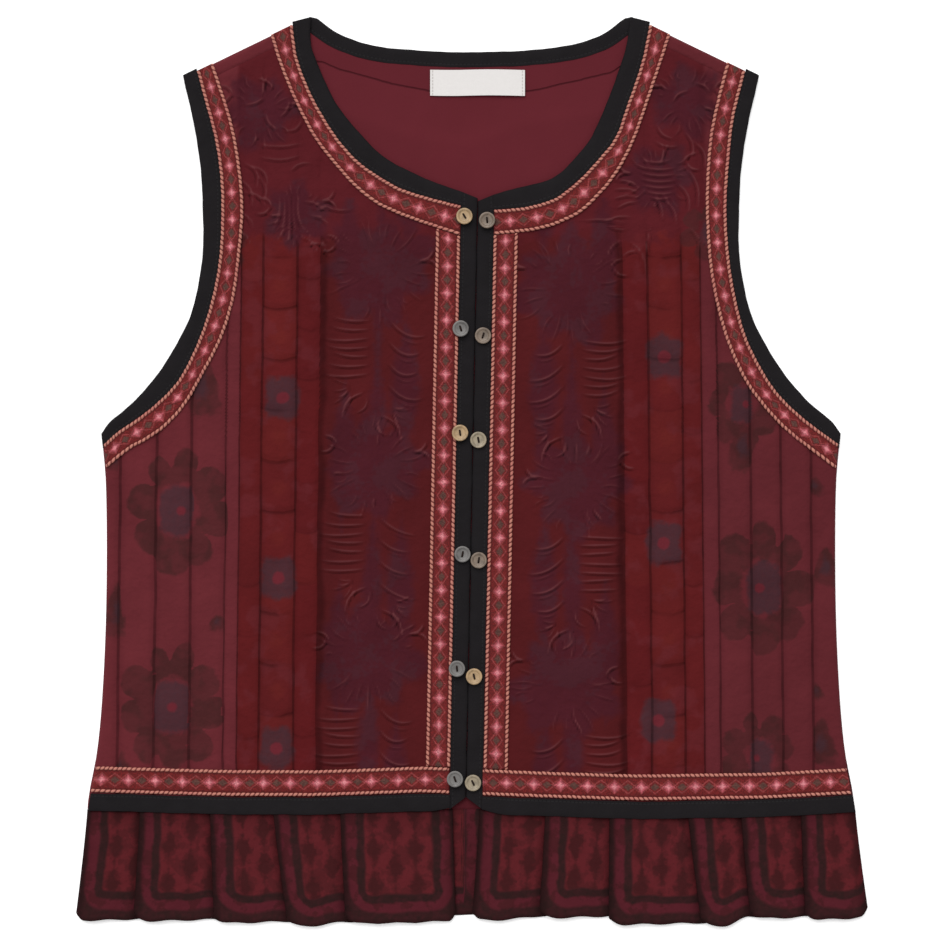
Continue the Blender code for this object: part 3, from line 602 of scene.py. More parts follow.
class Bench:
    """One material's nodes while it is being made."""

    def __init__(self, name: str) -> None:
        """Start a material with a Principled shader."""
        self.material = bpy.data.materials.new(name)
        self.material.use_nodes = True
        self.tree = self.material.node_tree
        self.shader = self.tree.nodes["Principled BSDF"]
        self.at = self.node("ShaderNodeTexCoord").outputs["Object"]

    def node(self, kind: str, settings: dict | None = None,
             inputs: dict | None = None) -> bpy.types.Node:
        """Add a node.

        Args:
            kind: The node's type.
            settings: Its properties, set first; a ramp takes "stops".
            inputs: Values or links of its sockets, by name or index.

        Returns:
            The node.
        """
        node = self.tree.nodes.new(kind)
        for key, value in (settings or {}).items():
            if key == "stops":
                ramp = node.color_ramp
                while len(ramp.elements) < len(value):
                    ramp.elements.new(0.5)
                for element, (place, colour) in zip(ramp.elements, value):
                    element.position = place
                    element.color = (*colour, 1.0)
            else:
                setattr(node, key, value)
        for key, value in (inputs or {}).items():
            self.plug(node.inputs[key], value)
        return node

    def plug(self, socket: bpy.types.NodeSocket, value: object) -> None:
        """Set a socket to a value, or link it to the number or socket given."""
        if isinstance(value, Number):
            value = value.socket
        if isinstance(value, bpy.types.NodeSocket):
            self.tree.links.new(value, socket)
        elif isinstance(value, tuple) and len(value) == 3 and socket.type == "RGBA":
            socket.default_value = (*value, 1.0)
        else:
            socket.default_value = value

    def value(self, name: str) -> Number:
        """The number that a surface attribute holds."""
        node = self.node("ShaderNodeAttribute", {"attribute_name": name})
        return Number(self, node.outputs["Fac"])

    def axes(self) -> tuple[Number, Number, Number]:
        """The place on the piece as three numbers, in metres."""
        node = self.node("ShaderNodeSeparateXYZ", None, {0: self.at})
        return tuple(Number(self, out) for out in node.outputs)

    def vector(self, x: object, y: object, z: object = 0.0) -> bpy.types.NodeSocket:
        """Three numbers as one vector."""
        return self.node("ShaderNodeCombineXYZ", None, {0: x, 1: y, 2: z}).outputs[0]

    def noise(self, scale: float, detail: float = 2.0, where: object = None) -> Number:
        """Smooth noise about 0.5."""
        node = self.node("ShaderNodeTexNoise", {"noise_dimensions": "3D"}, {
            "Vector": where or self.at, "Scale": scale, "Detail": detail})
        return Number(self, node.outputs[0])

    def stretched(self, scale: tuple[float, float, float]) -> bpy.types.NodeSocket:
        """The place on the piece, scaled on each axis."""
        node = self.node("ShaderNodeMapping", None, {"Vector": self.at, "Scale": scale})
        return node.outputs[0]

    def chance(self, x: object, y: object) -> Number:
        """A fixed random number for each pair of whole numbers."""
        node = self.node("ShaderNodeTexWhiteNoise", {"noise_dimensions": "3D"},
                         {"Vector": self.vector(x, y)})
        return Number(self, node.outputs[0])

    def mix(self, share: object, first: object, second: object) -> bpy.types.NodeSocket:
        """One colour laid over another."""
        node = self.node("ShaderNodeMix", {"data_type": "RGBA"},
                         {0: share, 6: first, 7: second})
        return node.outputs[2]

    def shade(self, colour: object, amount: Number) -> bpy.types.NodeSocket:
        """A colour made lighter or darker by a number."""
        return self.node("ShaderNodeVectorMath", {"operation": "SCALE"},
                         {0: colour, "Scale": amount}).outputs[0]

    def weave(self, pitch: float) -> Number:
        """The height of a plain weave's threads, from 0 to 1."""
        x, y, _ = self.axes()
        warp, weft = x.ribs(pitch), y.ribs(pitch)
        return warp * 0.5 + weft * 0.5

    def finish(self, colour: object, roughness: object, height: Number | None = None,
               gloss: float = 0.10, sheen: float = 0.0,
               tint: Colour = (1.0, 1.0, 1.0)) -> bpy.types.Material:
        """Connect the shader.

        Args:
            colour: The base colour.
            roughness: The roughness.
            height: The surface's relief in metres.
            gloss: How strongly the surface mirrors light; cotton hardly does.
            sheen: How much fuzz the cloth has.
            tint: The fuzz's colour.

        Returns:
            The finished material.
        """
        wanted = {"Base Color": colour, "Roughness": roughness, "Specular IOR Level": gloss,
                  "Sheen Weight": sheen, "Sheen Roughness": 0.4, "Sheen Tint": tint}
        if height is not None:
            bump = self.node("ShaderNodeBump", None, {
                "Strength": 1.0, "Distance": 1.0, "Height": height})
            wanted["Normal"] = bump.outputs[0]
        for name, value in wanted.items():
            self.plug(self.shader.inputs[name], value)
        return self.material


SOFT_WINE = (0.05, 0.02, (0.9, 0.3, 0.3))  # Gloss, sheen and the fuzz's tint of the cottons


@dataclass(frozen=True)
class WineCotton:
    """Thin printed cotton: wine outer strips, red patchwork and a dark worked column.

    It reads strip, which passes a whole number at each sewn channel, the print's ink,
    plum, slate and rose in millimetres within each motif, and relief, the raised work,
    which sets a painted highlight on crease crests and painted shade in their troughs.
    """

    worked: Colour = (0.0660, 0.0076, 0.0088)
    russet: Colour = (0.0800, 0.0070, 0.0084)
    brick: Colour = (0.0890, 0.0086, 0.0096)
    scarlet: Colour = (0.0850, 0.0080, 0.0090)
    wine: Colour = (0.1030, 0.0162, 0.0210)
    shoulder: Colour = (0.0740, 0.0086, 0.0118)
    maroon: Colour = (0.0470, 0.0126, 0.0130)
    plum: Colour = (0.0455, 0.0180, 0.0235)
    dusk: Colour = (0.0500, 0.0082, 0.0138)
    slate: Colour = (0.0480, 0.0145, 0.0205)
    rose: Colour = (0.1200, 0.0135, 0.0205)
    crest_highlight: Colour = (0.0980, 0.0260, 0.0290)
    ember: Colour = (0.1120, 0.0135, 0.0108)
    patch: float = 0.033
    pitch: float = 0.0225

    def material(self) -> bpy.types.Material:
        """The finished material."""
        b = Bench("wine_cotton_print")
        strip = b.value("strip") + (b.noise(30.0, 2.0) - 0.5) * 0.09
        x, y, _ = b.axes()
        drift = b.noise(150.0, 3.0)
        mottle = b.noise(330.0, 3.0)
        edge = strip + (drift - 0.5) * 0.14
        ground = b.node("ShaderNodeValToRGB", {"stops": [
            (0.0, self.worked), (0.094, self.worked), (0.106, self.russet),
            (0.197, self.russet), (0.203, self.brick), (0.296, self.brick),
            (0.304, self.scarlet), (0.392, self.scarlet), (0.408, self.wine),
            (1.0, self.wine)]}, {"Fac": edge / 10.0}).outputs[0]
        high = (y + (drift - 0.5) * 0.030).rise(0.143, 0.158)
        ground = b.mix(high * edge.rise(4.6, 4.2), ground, self.shoulder)

        # Patches down the inner strips, each a little different, with a soft spot
        column = strip.floor()
        middle = strip.fract() - 0.5
        bow = (b.noise(70.0, 2.0) - middle * middle * 2.4) * 0.10
        down = y / self.patch + b.chance(column, 3.0) * 0.8 + bow
        row = down.floor()
        inner = edge.rise(0.95, 1.05) * edge.rise(4.05, 3.95) * (1.0 - high)
        motif = edge.rise(1.97, 2.03) * edge.rise(3.03, 2.97) * (1.0 - high)
        odd = b.chance(column, row) - 0.5
        lighter = b.mix(odd.rise(0.0, 0.5) * inner * 0.22, ground, self.ember)
        darker = b.mix((odd * -1.0).rise(0.0, 0.5) * inner * 0.25, lighter, self.worked)
        across = middle * self.pitch
        along = (down.fract() - 0.5) * self.patch
        spot = (across * across + along * along) ** 0.5 + (drift - 0.5) * 0.006
        tone = b.mix(spot.rise(0.0072, 0.0020) * motif * 0.34, darker, self.ember)
        tone = b.mix(inner * b.noise(62.0, 3.0).rise(0.50, 0.64) * 0.38, tone, self.wine)

        # The printed motifs, with the soft edges of a hand block
        bleed = (mottle - 0.5) * 1.6 + (drift - 0.5) * 6.0
        ink = (b.value("ink") + bleed).rise(-1.0, 1.6)
        plum = (b.value("plum") + bleed).rise(-1.6, 2.2)
        bloom = (b.value("slate") + bleed * 1.3).rise(-3.0, 4.0)
        rose = (b.value("rose") + bleed * 0.35).rise(-0.9, 1.2)
        patches = (b.noise(48.0, 3.0) + (mottle - 0.5) * 0.25).rise(0.50, 0.60)
        worn_ink = 0.42 + b.noise(85.0, 2.0).rise(0.40, 0.60) * 0.30 + mottle * 0.30
        tone = b.mix(ink * worn_ink, tone, self.maroon)
        tone = b.mix(bloom * (0.60 + mottle * 0.40), tone, self.dusk)
        tone = b.mix(bloom * patches * 0.42, tone, self.slate)
        tone = b.mix(plum * (0.66 + mottle * 0.35), tone, self.plum)
        tone = b.mix(rose * 0.80, tone, self.rose)

        # Sewn channels: a dark line of painted shadow and thread, and a wider, fainter painted
        # shade beside each channel and each cross seam
        line = (strip + 0.5).from_middle() * self.pitch
        live = strip.rise(0.4, 0.6) * (1.0 - high) * (0.55 + b.noise(60.0, 2.0) * 0.9)
        sewn = line.rise(0.0013, 0.0003) * live
        cross = (down + 0.5).from_middle() * self.patch
        seen = b.noise(38.0, 1.0).rise(0.42, 0.58)
        pulled = motif * (0.20 + seen * 0.80) + (inner - motif) * seen * 0.45
        stitched = cross.rise(0.0016, 0.0002) * pulled
        # Painted shade: a soft darkening a few millimetres wide beside the channels and the cross
        # seams
        soft = line.rise(0.0050, 0.0006) * live * 0.12 + cross.rise(0.0060, 0.0) * pulled * 0.10
        # Painted highlight and shade from the crease relief: crests get a lighter pinkish grey and
        # up to 12 % more brightness, troughs up to 60 % darker
        worn = b.value("relief")
        tone = b.mix(worn.rise(0.12, 1.0) * 0.72, tone, self.crest_highlight)
        lift = 1.0 + worn.rise(0.15, 1.1) * 0.12 - (worn * -1.0).rise(0.06, 0.70) * 0.60
        patchy = 0.80 + b.noise(34.0, 3.0) * 0.40
        fleck = 0.90 + mottle * 0.12 + b.noise(3200.0, 1.0) * 0.08
        # Darker towards the right on the wine strips, by up to 13 %
        faded = 1.0 - x.rise(-0.05, 0.22) * strip.rise(3.9, 4.1) * 0.13
        dark = (1.0 - sewn * 0.42) * (1.0 - stitched * 0.24) * (1.0 - soft) * faded
        colour = b.shade(tone, lift * patchy * fleck * dark)
        relief = (b.weave(0.00042) * 0.00005 + mottle * 0.0004
                  + b.noise(110.0, 2.0) * 0.0012 - sewn * 0.00035 - stitched * 0.0003
                  - cross.rise(0.0050, 0.0) * pulled * 0.0006)
        rough = 0.76 + mottle * 0.14
        return b.finish(colour, rough, relief, *SOFT_WINE)


@dataclass(frozen=True)
class OxbloodLining:
    """Plain lining cotton with a stitched facing seam, read from facing in metres."""

    ground: Colour = (0.0990, 0.0140, 0.0200)

    def material(self) -> bpy.types.Material:
        """The finished material."""
        b = Bench("oxblood_lining")
        facing = b.value("facing")
        waver = (b.noise(90.0, 2.0) - 0.5) * 0.0018
        seam = (facing + waver).size()
        line = seam.rise(0.0010, 0.0003)
        above = (facing + waver).rise(-0.0002, 0.0006)
        patchy = 0.90 + b.noise(22.0, 2.0) * 0.20
        fleck = 0.95 + b.noise(3000.0, 1.0) * 0.10
        shade = patchy * fleck * (1.0 - line * 0.34) * (1.0 - above * 0.06)
        colour = b.shade(self.ground, shade)
        relief = (b.weave(0.00040) * 0.00005 + b.noise(400.0, 2.0) * 0.00012
                  + above * 0.0003 - line * 0.0003)
        return b.finish(colour, 0.80 + b.noise(200.0) * 0.1, relief, *SOFT_WINE)


@dataclass(frozen=True)
class BlackBinding:
    """Black bias tape with a row of stitches near its inner edge, read from across."""

    ground: Colour = (0.0100, 0.0086, 0.0096)
    thread: Colour = (0.0165, 0.0155, 0.0165)

    def material(self) -> bpy.types.Material:
        """The finished material."""
        b = Bench("black_binding_tape")
        across = b.value("across")
        along = b.value("along")
        row = (across - 0.86).size().rise(0.045, 0.02)
        stitch = row * (along / 0.0026).fract().rise(0.22, 0.34)
        patchy = 0.80 + b.noise(70.0, 3.0) * 0.40
        tone = b.mix(stitch * 0.8, self.ground, self.thread)
        colour = b.shade(tone, patchy * (0.9 + b.noise(2600.0, 1.0) * 0.2))
        ribs = (along + across * 0.004).ribs(0.00045)
        relief = (ribs * 0.00006 + b.noise(500.0, 2.0) * 0.00018 + b.noise(110.0, 2.0) * 0.0007
                  - row * (1.0 - stitch) * 0.00022)
        return b.finish(colour, 0.70 + b.noise(150.0) * 0.16, relief, 0.07)


@dataclass(frozen=True)
class WovenBraid:
    """A woven band of pink stars and green lozenges between zigzags, on brick red.

    It reads along in metres and across from -1 to 1.
    """

    ground: Colour = (0.122, 0.0110, 0.0110)
    shadow: Colour = (0.070, 0.0075, 0.0075)
    star: Colour = (0.380, 0.078, 0.096)
    glow: Colour = (0.600, 0.220, 0.240)
    lozenge: Colour = (0.078, 0.038, 0.030)
    zigzag: Colour = (0.270, 0.052, 0.052)
    half: float = 0.0056
    repeat: float = 0.0175

    def material(self) -> bpy.types.Material:
        """The finished material."""
        b = Bench("woven_braid_band")
        along, across = b.value("along"), b.value("across")
        waver = (b.noise(700.0, 2.0) - 0.5) * 0.0009
        u = along / self.repeat
        w = across * self.half + waver
        near = (u + 0.5).from_middle() * self.repeat
        far = u.from_middle() * self.repeat
        reach = w.size()
        diamond = near * 0.78 + reach
        worn = (b.noise(420.0, 2.0) - 0.5) * 0.0016
        star = ((near * 0.86 + 0.0001) ** 0.8 + (reach + 0.0001) ** 0.8) ** 1.25 + worn
        green = far * 0.75 + reach
        ring = (green - 0.0041).size()
        cross = (diamond - 0.0043).size()
        thin = b.chance((along / 0.0007).floor(), (across * 7.0).floor())
        tone = b.mix(reach.rise(0.0046, 0.0056) * 0.7, self.ground, self.shadow)
        tone = b.mix((green + worn).rise(0.0030, 0.0019) * 0.85, tone, self.lozenge)
        tone = b.mix((ring + worn * 0.4).rise(0.0009, 0.0002) * 0.55, tone, self.zigzag)
        tone = b.mix((cross + worn * 0.4).rise(0.0009, 0.0002) * 0.45, tone, self.zigzag)
        tone = b.mix(star.rise(0.0055, 0.0029) * 0.90, tone, self.star)
        tone = b.mix(star.rise(0.0032, 0.0010) * 0.80, tone, self.glow)
        colour = b.shade(tone, 0.70 + thin * 0.60)
        rib = along.ribs(0.00055)
        float_thread = star.rise(0.0068, 0.0040) + ring.rise(0.0008, 0.0003) * 0.5
        relief = (rib * 0.00012 + thin * 0.00012 + float_thread * 0.0003
                  + cross.rise(0.0008, 0.0003) * 0.0002)
        return b.finish(colour, 0.62 + thin * 0.2, relief, 0.15)


@dataclass(frozen=True)
class RopeCord:
    """Twisted edge cord in peach thread, with painted shade of dark rose in the grooves between its
    turns, read from crest and along.
    """

    peach: Colour = (0.450, 0.180, 0.136)
    rose: Colour = (0.130, 0.026, 0.024)
    faded: Colour = (0.400, 0.120, 0.105)

    def material(self) -> bpy.types.Material:
        """The finished material."""
        b = Bench("twisted_edge_cord")
        crest = b.value("crest")
        along = b.value("along")
        patchy = b.noise(60.0, 2.0)
        # Peach thread on the crests of the turns; painted shade of dark rose in the grooves between
        # them
        turn = crest.rise(0.22, 0.62)
        tone = b.mix(turn, self.rose, self.peach)
        tone = b.mix(patchy.rise(0.50, 0.68) * turn * 0.55, tone, self.faded)
        threads = along.ribs(0.0004)
        colour = b.shade(tone, 0.82 + b.noise(1500.0, 1.0) * 0.36)
        relief = threads * 0.00006 + b.noise(1800.0, 1.0) * 0.0001
        return b.finish(colour, 0.55 + patchy * 0.2, relief, 0.18)


@dataclass(frozen=True)
class BlockPrint:
    """Printed ruffle cotton: a dark frame round each pleat and dark drops within it; along each
    fold edge the frame's outer band is also a painted shadow.

    It reads from_edge and from_hem in millimetres, and shade, dark where folds hide.
    """

    ground: Colour = (0.0860, 0.0112, 0.0142)
    rosy: Colour = (0.0690, 0.0100, 0.0152)
    deep: Colour = (0.0320, 0.0068, 0.0074)
    print_and_shadow_black: Colour = (0.0185, 0.0080, 0.0076)
    panel: float = 73.0
    bend: float = 17.0
    hem_margin: float = 4.0
    drop_wide: float = 13.5
    drop_high: float = 24.0

    def material(self) -> bpy.types.Material:
        """The finished material."""
        b = Bench("block_print_ruffle")
        blot = b.noise(300.0, 2.0)
        warp = (b.noise(60.0, 2.0) - 0.5) * 4.5 + (blot - 0.5) * 1.1
        lift = (b.noise(52.0, 2.0) - 0.5) * 4.5 + (blot - 0.5) * 0.8
        edge = b.value("from_edge")
        x = edge.least(self.panel - edge) + warp
        y = b.value("from_hem") + lift
        rise = y - self.hem_margin
        dx = (self.bend - x).most(0.0)
        dy = (self.bend - rise).most(0.0)
        far_in = (x - self.bend).most(0.0).least((rise - self.bend).most(0.0))
        deep_in = self.bend - (dx * dx + dy * dy) ** 0.5 + far_in
        hem_line = deep_in.rise(4.4, 1.6)
        line = deep_in.rise(8.3, 10.3) * deep_in.rise(15.6, 13.2)
        inside = deep_in.rise(13.0, 15.4)
        column = (edge + warp * 0.5) / self.drop_wide
        down = y / self.drop_high + (column.floor() * 0.5).fract()
        p = column.from_middle() * 2.0
        q = down.from_middle() * 2.0
        lozenge = (p + q * 0.85 + (blot - 0.5) * 1.4).rise(1.15, 0.45)
        tone = b.mix(inside, self.rosy, self.ground)
        tone = b.mix(inside * lozenge * 0.82, tone, self.deep)
        patches = (b.noise(120.0, 3.0) + (blot - 0.5) * 0.3).rise(0.47, 0.60)
        tone = b.mix(patches * (0.60 - inside * 0.15), tone, self.deep)
        tone = b.mix(line * (0.62 + blot * 0.5), tone, self.print_and_shadow_black)
        # The frame's outer band at the hem and at each fold edge: print, and along the fold edge
        # also a painted shadow
        tone = b.mix(hem_line * (0.55 + blot * 0.5), tone, self.print_and_shadow_black)
        colour = b.shade(tone, b.value("shade") * (0.86 + b.noise(120.0, 2.0) * 0.28))
        relief = (b.weave(0.00042) * 0.00005 + blot * 0.0004 + b.noise(90.0, 2.0) * 0.0010)
        return b.finish(colour, 0.76 + blot * 0.14, relief, *SOFT_WINE)


class Horn(Enum):
    """Tones of the horn buttons."""

    TAN = (0.350, 0.235, 0.125)
    BEIGE = (0.270, 0.220, 0.150)
    GREY = (0.130, 0.122, 0.116)
    BROWN = (0.165, 0.122, 0.090)

    def material(self) -> bpy.types.Material:
        """The finished material, streaked and clouded, with a soft polish."""
        b = Bench("horn_" + self.name.lower())
        cloud = b.noise(260.0, 3.0)
        streak = b.noise(1.0, 3.0, b.stretched((900.0, 150.0, 300.0)))
        tone = b.mix(cloud.rise(0.42, 0.66) * 0.7, self.value,
                     tuple(0.55 * c for c in self.value))
        tone = b.mix(streak.rise(0.5, 0.75) * 0.4, tone, tuple(min(1.0, 1.4 * c)
                                                               for c in self.value))
        colour = b.shade(tone, 0.9 + b.noise(1500.0, 1.0) * 0.2)
        relief = streak * 0.00006 + cloud * 0.00005
        return b.finish(colour, 0.30 + cloud * 0.22, relief, 0.45)


@dataclass(frozen=True)
class ButtonThread:
    """Dark brown sewing thread."""

    ground: Colour = (0.016, 0.009, 0.007)

    def material(self) -> bpy.types.Material:
        """The finished material."""
        b = Bench("button_thread")
        ply = b.noise(1.0, 2.0, b.stretched((2500.0, 900.0, 2500.0)))
        return b.finish(b.shade(self.ground, 0.6 + ply * 0.8), 0.7 + ply * 0.1, ply * 0.0001)


@dataclass(frozen=True)
class LabelTape:
    """Blank white woven tape, read from across as the distance in from its ends."""

    ground: Colour = (0.660, 0.635, 0.620)
    thread: Colour = (0.480, 0.450, 0.430)

    def material(self) -> bpy.types.Material:
        """The finished material."""
        b = Bench("label_tape_white")
        ends, along = b.value("across"), b.value("along")
        row = (ends - 0.0016).size().rise(0.0005, 0.0002)
        stitch = row * (along / 0.0021).fract().rise(0.30, 0.42)
        _, y, _ = b.axes()
        rib = y.ribs(0.00035)
        tone = b.mix(stitch, self.ground, self.thread)
        colour = b.shade(tone, 0.95 + rib * 0.03 + b.noise(1400.0, 1.0) * 0.05)
        relief = rib * 0.00005 + stitch * 0.00012 + b.noise(300.0, 2.0) * 0.0001
        return b.finish(colour, 0.55 + rib * 0.1, relief, 0.2)


@dataclass(frozen=True)
class PaleFloor:
    """A plain matt light table."""

    ground: Colour = (0.900, 0.900, 0.900)
    glow: float = 0.32

    def material(self) -> bpy.types.Material:
        """The finished material."""
        b = Bench("pale_floor")
        b.shader.inputs["Emission Color"].default_value = (1.0, 1.0, 1.0, 1.0)
        b.shader.inputs["Emission Strength"].default_value = self.glow
        return b.finish(b.shade(self.ground, 0.995 + b.noise(3.0) * 0.01), 0.95)


@dataclass(frozen=True)
class Finishes:
    """The materials, each made once."""

    cotton: bpy.types.Material
    lining: bpy.types.Material
    binding: bpy.types.Material
    braid: bpy.types.Material
    cord: bpy.types.Material
    ruffle: bpy.types.Material
    thread: bpy.types.Material
    label: bpy.types.Material
    horn: dict[Horn, bpy.types.Material]

    @classmethod
    def made(cls) -> "Finishes":
        """Make every material."""
        return cls(WineCotton().material(), OxbloodLining().material(),
                   BlackBinding().material(), WovenBraid().material(), RopeCord().material(),
                   BlockPrint().material(), ButtonThread().material(), LabelTape().material(),
                   {tone: tone.material() for tone in Horn})


# The print and the raised work

@dataclass(frozen=True)
class Medallion:
    """A printed wheel of petals round a plum heart, sizes in metres."""

    x: float
    y: float
    radius: float
    petals: int = 8
    turn: float = 0.0

    def mark(self, points: np.ndarray, fields: dict[str, np.ndarray]) -> None:
        """Raise ink, plum and rose at points that the wheel covers."""
        dx, dy = points[:, 0] - self.x, points[:, 1] - self.y
        reach = np.hypot(dx, dy)
        share = (np.arctan2(dy, dx) - self.turn) * self.petals / (2 * math.pi)
        away = np.abs(share - np.round(share))
        size = 0.93 + 0.07 * np.sin(3.1 * np.round(share) + self.turn)
        lobe = np.sqrt(np.clip(1.0 - (2.0 * away) ** 2.4, 0.0, 1.0))
        deep = 0.40 + 0.14 * np.sin(5.0 * np.round(share) + 3.0 * np.sign(share - np.round(share)))
        petal = self.radius * size * (1.02 - deep * (1.0 - lobe)) - reach
        heart = 0.32 * self.radius - (np.abs(dx) ** 3.5 + np.abs(dy * 0.86) ** 3.5) ** (1 / 3.5)
        raise_to(fields, "ink", np.minimum(petal, (reach - 0.40 * self.radius) * 0.6))
        raise_to(fields, "plum", heart)
        raise_to(fields, "rose", 0.075 * self.radius - reach)


@dataclass(frozen=True)
class Drop:
    """A printed leaf drop that stands between the wheels."""

    x: float
    y: float
    width: float
    height: float

    def mark(self, points: np.ndarray, fields: dict[str, np.ndarray]) -> None:
        """Raise ink and a plum heart at points that the drop covers."""
        dx = np.abs(points[:, 0] - self.x) / self.width
        dy = (points[:, 1] - self.y) / self.height
        inside = 1.0 - np.hypot(dx * (1.0 + 0.5 * np.clip(dy, -1, 1)), dy)
        raise_to(fields, "ink", inside * self.width)
        raise_to(fields, "plum", (inside - 0.55) * self.width)


@dataclass(frozen=True)
class Rosette:
    """A square rosette of plum with scalloped sides and a rose heart."""

    x: float
    y: float
    width: float = 0.0245
    height: float = 0.0300

    def mark(self, points: np.ndarray, fields: dict[str, np.ndarray]) -> None:
        """Raise plum and rose at points that the rosette covers."""
        dx = (points[:, 0] - self.x) / (self.width / 2)
        dy = (points[:, 1] - self.y) / (self.height / 2)
        square = (np.abs(dx) ** 4 + np.abs(dy) ** 4) ** 0.25
        scallop = 0.06 * np.cos(5.0 * np.arctan2(dy, dx) + 60.0 * self.y)
        raise_to(fields, "plum", (0.92 + scallop - square) * self.width / 2)
        raise_to(fields, "rose", 0.0042 - np.hypot(points[:, 0] - self.x,
                                                   points[:, 1] - self.y))


@dataclass(frozen=True)
class Bloom:
    """A slate blue flower of fanned petals, worked in creases."""

    x: float
    y: float
    radius: float
    petals: int = 7
    turn: float = 0.0

    def mark(self, points: np.ndarray, fields: dict[str, np.ndarray]) -> None:
        """Raise slate at points that the flower covers."""
        dx, dy = points[:, 0] - self.x, points[:, 1] - self.y
        angle = np.arctan2(dy, dx)
        reach = self.radius * (0.98 + 0.16 * np.cos(self.petals * angle + self.turn)
                               + 0.10 * np.sin(3 * angle - self.turn))
        raise_to(fields, "slate", (reach - np.hypot(dx, dy)) * 0.8)

    def creases(self) -> list["Crease"]:
        """The short creases that fan out at the rim, and a pair of leaves on each side."""
        made = []
        for k in range(self.petals):
            middle = 2 * math.pi * (k + 0.25 * math.sin(2.3 * k + self.turn)) / self.petals
            middle += self.turn
            for j in (-1, 0, 1):
                angle = middle + 0.24 * j + 0.08 * math.sin(3.7 * k + j)
                start = self.radius * (0.58 + 0.14 * math.sin(5.1 * k + j + self.turn))
                end = self.radius * (0.98 + 0.12 * math.sin(2.7 * k + 1.9 * j))
                ends = [(self.x + r * math.cos(angle), self.y + r * math.sin(angle))
                        for r in (start, end)]
                made.append(Crease(swoop(*ends, 0.0016 * math.sin(1.3 * k + 2.0 * j)),
                                   0.00075, 0.00050))
        for way in (-1, 1):
            for j, rise in enumerate((0.0060, -0.0045)):
                x = self.x + way * self.radius * (0.80 + 0.08 * j)
                y = self.y + self.radius * (0.30 + 0.20 * math.sin(self.turn + way))
                made.append(Crease(swoop((x, y), (x + way * 0.0080, y + rise),
                                         -0.0018 * (1 - 2 * j)), 0.00085, 0.0009))
        return made


def swoop(start: tuple[float, float], end: tuple[float, float], sag: float,
          hook: float = 0.0) -> Line:
    """A crease's line from start to end.

    Args:
        start: Where it starts.
        end: Where it ends.
        sag: How far its middle lies to the right of the straight way.
        hook: How far its end turns up.

    Returns:
        The points of the line.
    """
    t = np.linspace(0, 1, 10)[:, None]
    start, end = np.array(start), np.array(end)
    way = (end - start) / np.linalg.norm(end - start)
    line = start + (end - start) * t + sag * np.sin(math.pi * t) * np.array((way[1], -way[0]))
    return line + np.array((0.0, hook)) * t ** 5


@dataclass(frozen=True)
class Crease:
    """A raised crease in the worked cloth: its line, half width and height."""

    line: Line
    half: float
    height: float

    def relief(self, points: np.ndarray, total: np.ndarray) -> None:
        """Add the crease to the cloth's relief at points near it."""
        reach = 5.0 * self.half
        low, high = self.line.min(0) - reach, self.line.max(0) + reach
        near = np.flatnonzero((points[:, 0] > low[0]) & (points[:, 0] < high[0])
                              & (points[:, 1] > low[1]) & (points[:, 1] < high[1]))
        if not len(near):
            return
        gap, share, side = nearest(points[near], self.line)
        swell = np.sqrt(np.clip(np.sin(math.pi * (0.04 + 0.92 * share)), 0, 1))
        upward = gap * side * np.sign(self.line[-1, 0] - self.line[0, 0] + 1e-9)
        ridge = np.exp(-(gap / self.half) ** 2)
        trough = np.exp(-((upward + 2.0 * self.half) / (1.15 * self.half)) ** 2)
        trough *= np.exp(-(gap / (3.2 * self.half)) ** 4)
        total[near] += self.height * swell * (ridge - 0.62 * trough)


def raise_to(fields: dict[str, np.ndarray], name: str, metres: np.ndarray) -> None:
    """Keep the larger of a print field and a new motif, in millimetres."""
    fields[name] = np.maximum(fields[name], np.clip(metres / MM, NO_INK, -NO_INK))


SEAMS = {
    Side.LEFT: (0.0985, 0.1135, 0.1362, 0.1505, 0.1586, 0.1812, 0.2040, 0.2275),
    Side.RIGHT: (0.0990, 0.1157, 0.1378, 0.1500, 0.1600, 0.1814, 0.2009, 0.2204),
}
SEAM_LEAN = 0.010


def seam_place(points: np.ndarray) -> np.ndarray:
    """A place across the cloth with the lean of the channels taken out."""
    return points[:, 0] + SEAM_LEAN * points[:, 1]


def strip_of(points: np.ndarray, side: Side) -> np.ndarray:
    """The strip coordinate, whole at each sewn channel."""
    knots = (0.0, *SEAMS[side], SEAMS[side][-1] + 0.0223)
    return np.interp(seam_place(points), knots, np.arange(len(knots)))


def tucks(strip: np.ndarray | float) -> np.ndarray:
    """How many sewn tucks of the outer cloth lie inward of a strip place."""
    return np.maximum(np.floor(strip) - 4.0, 0.0)


TUCK_DEPTH = 0.0065
OUTER_PRINT = {
    Side.LEFT: (Medallion(0.1880, -0.0255, 0.0440, 8, 0.2), Medallion(0.1937, -0.1525, 0.0450, 9,
                0.5), Drop(0.2285, -0.0900, 0.0085, 0.0190), Drop(0.1760, 0.0560, 0.0120, 0.0210),
                Drop(0.2300, 0.0080, 0.0060, 0.0080), Medallion(0.1600, 0.1450, 0.0230, 7, 0.1),
                Drop(0.1640, -0.0980, 0.0050, 0.0060), Drop(0.2290, -0.1900, 0.0070, 0.0110),
                Rosette(0.1222, 0.0478), Rosette(0.1248, -0.0692), Rosette(0.1261, -0.1797)),
    Side.RIGHT: (Medallion(0.1870, -0.0756, 0.0460, 8, 0.0), Medallion(0.1785, 0.0436, 0.0330, 7,
                 0.4), Drop(0.1765, 0.0166, 0.0085, 0.0165), Drop(0.2230, -0.0090, 0.0055, 0.0070),
                 Drop(0.2236, -0.1420, 0.0045, 0.0055), Medallion(0.1850, -0.1860, 0.0330, 8, 0.3),
                 Drop(0.2270, -0.1760, 0.0080, 0.0150), Medallion(0.1560, 0.1550, 0.0210, 7, 0.7),
                 Drop(0.2300, -0.0620, 0.0080, 0.0130),
                 Rosette(0.1252, 0.0744), Rosette(0.1249, -0.0465), Rosette(0.1216, -0.1615)),
}
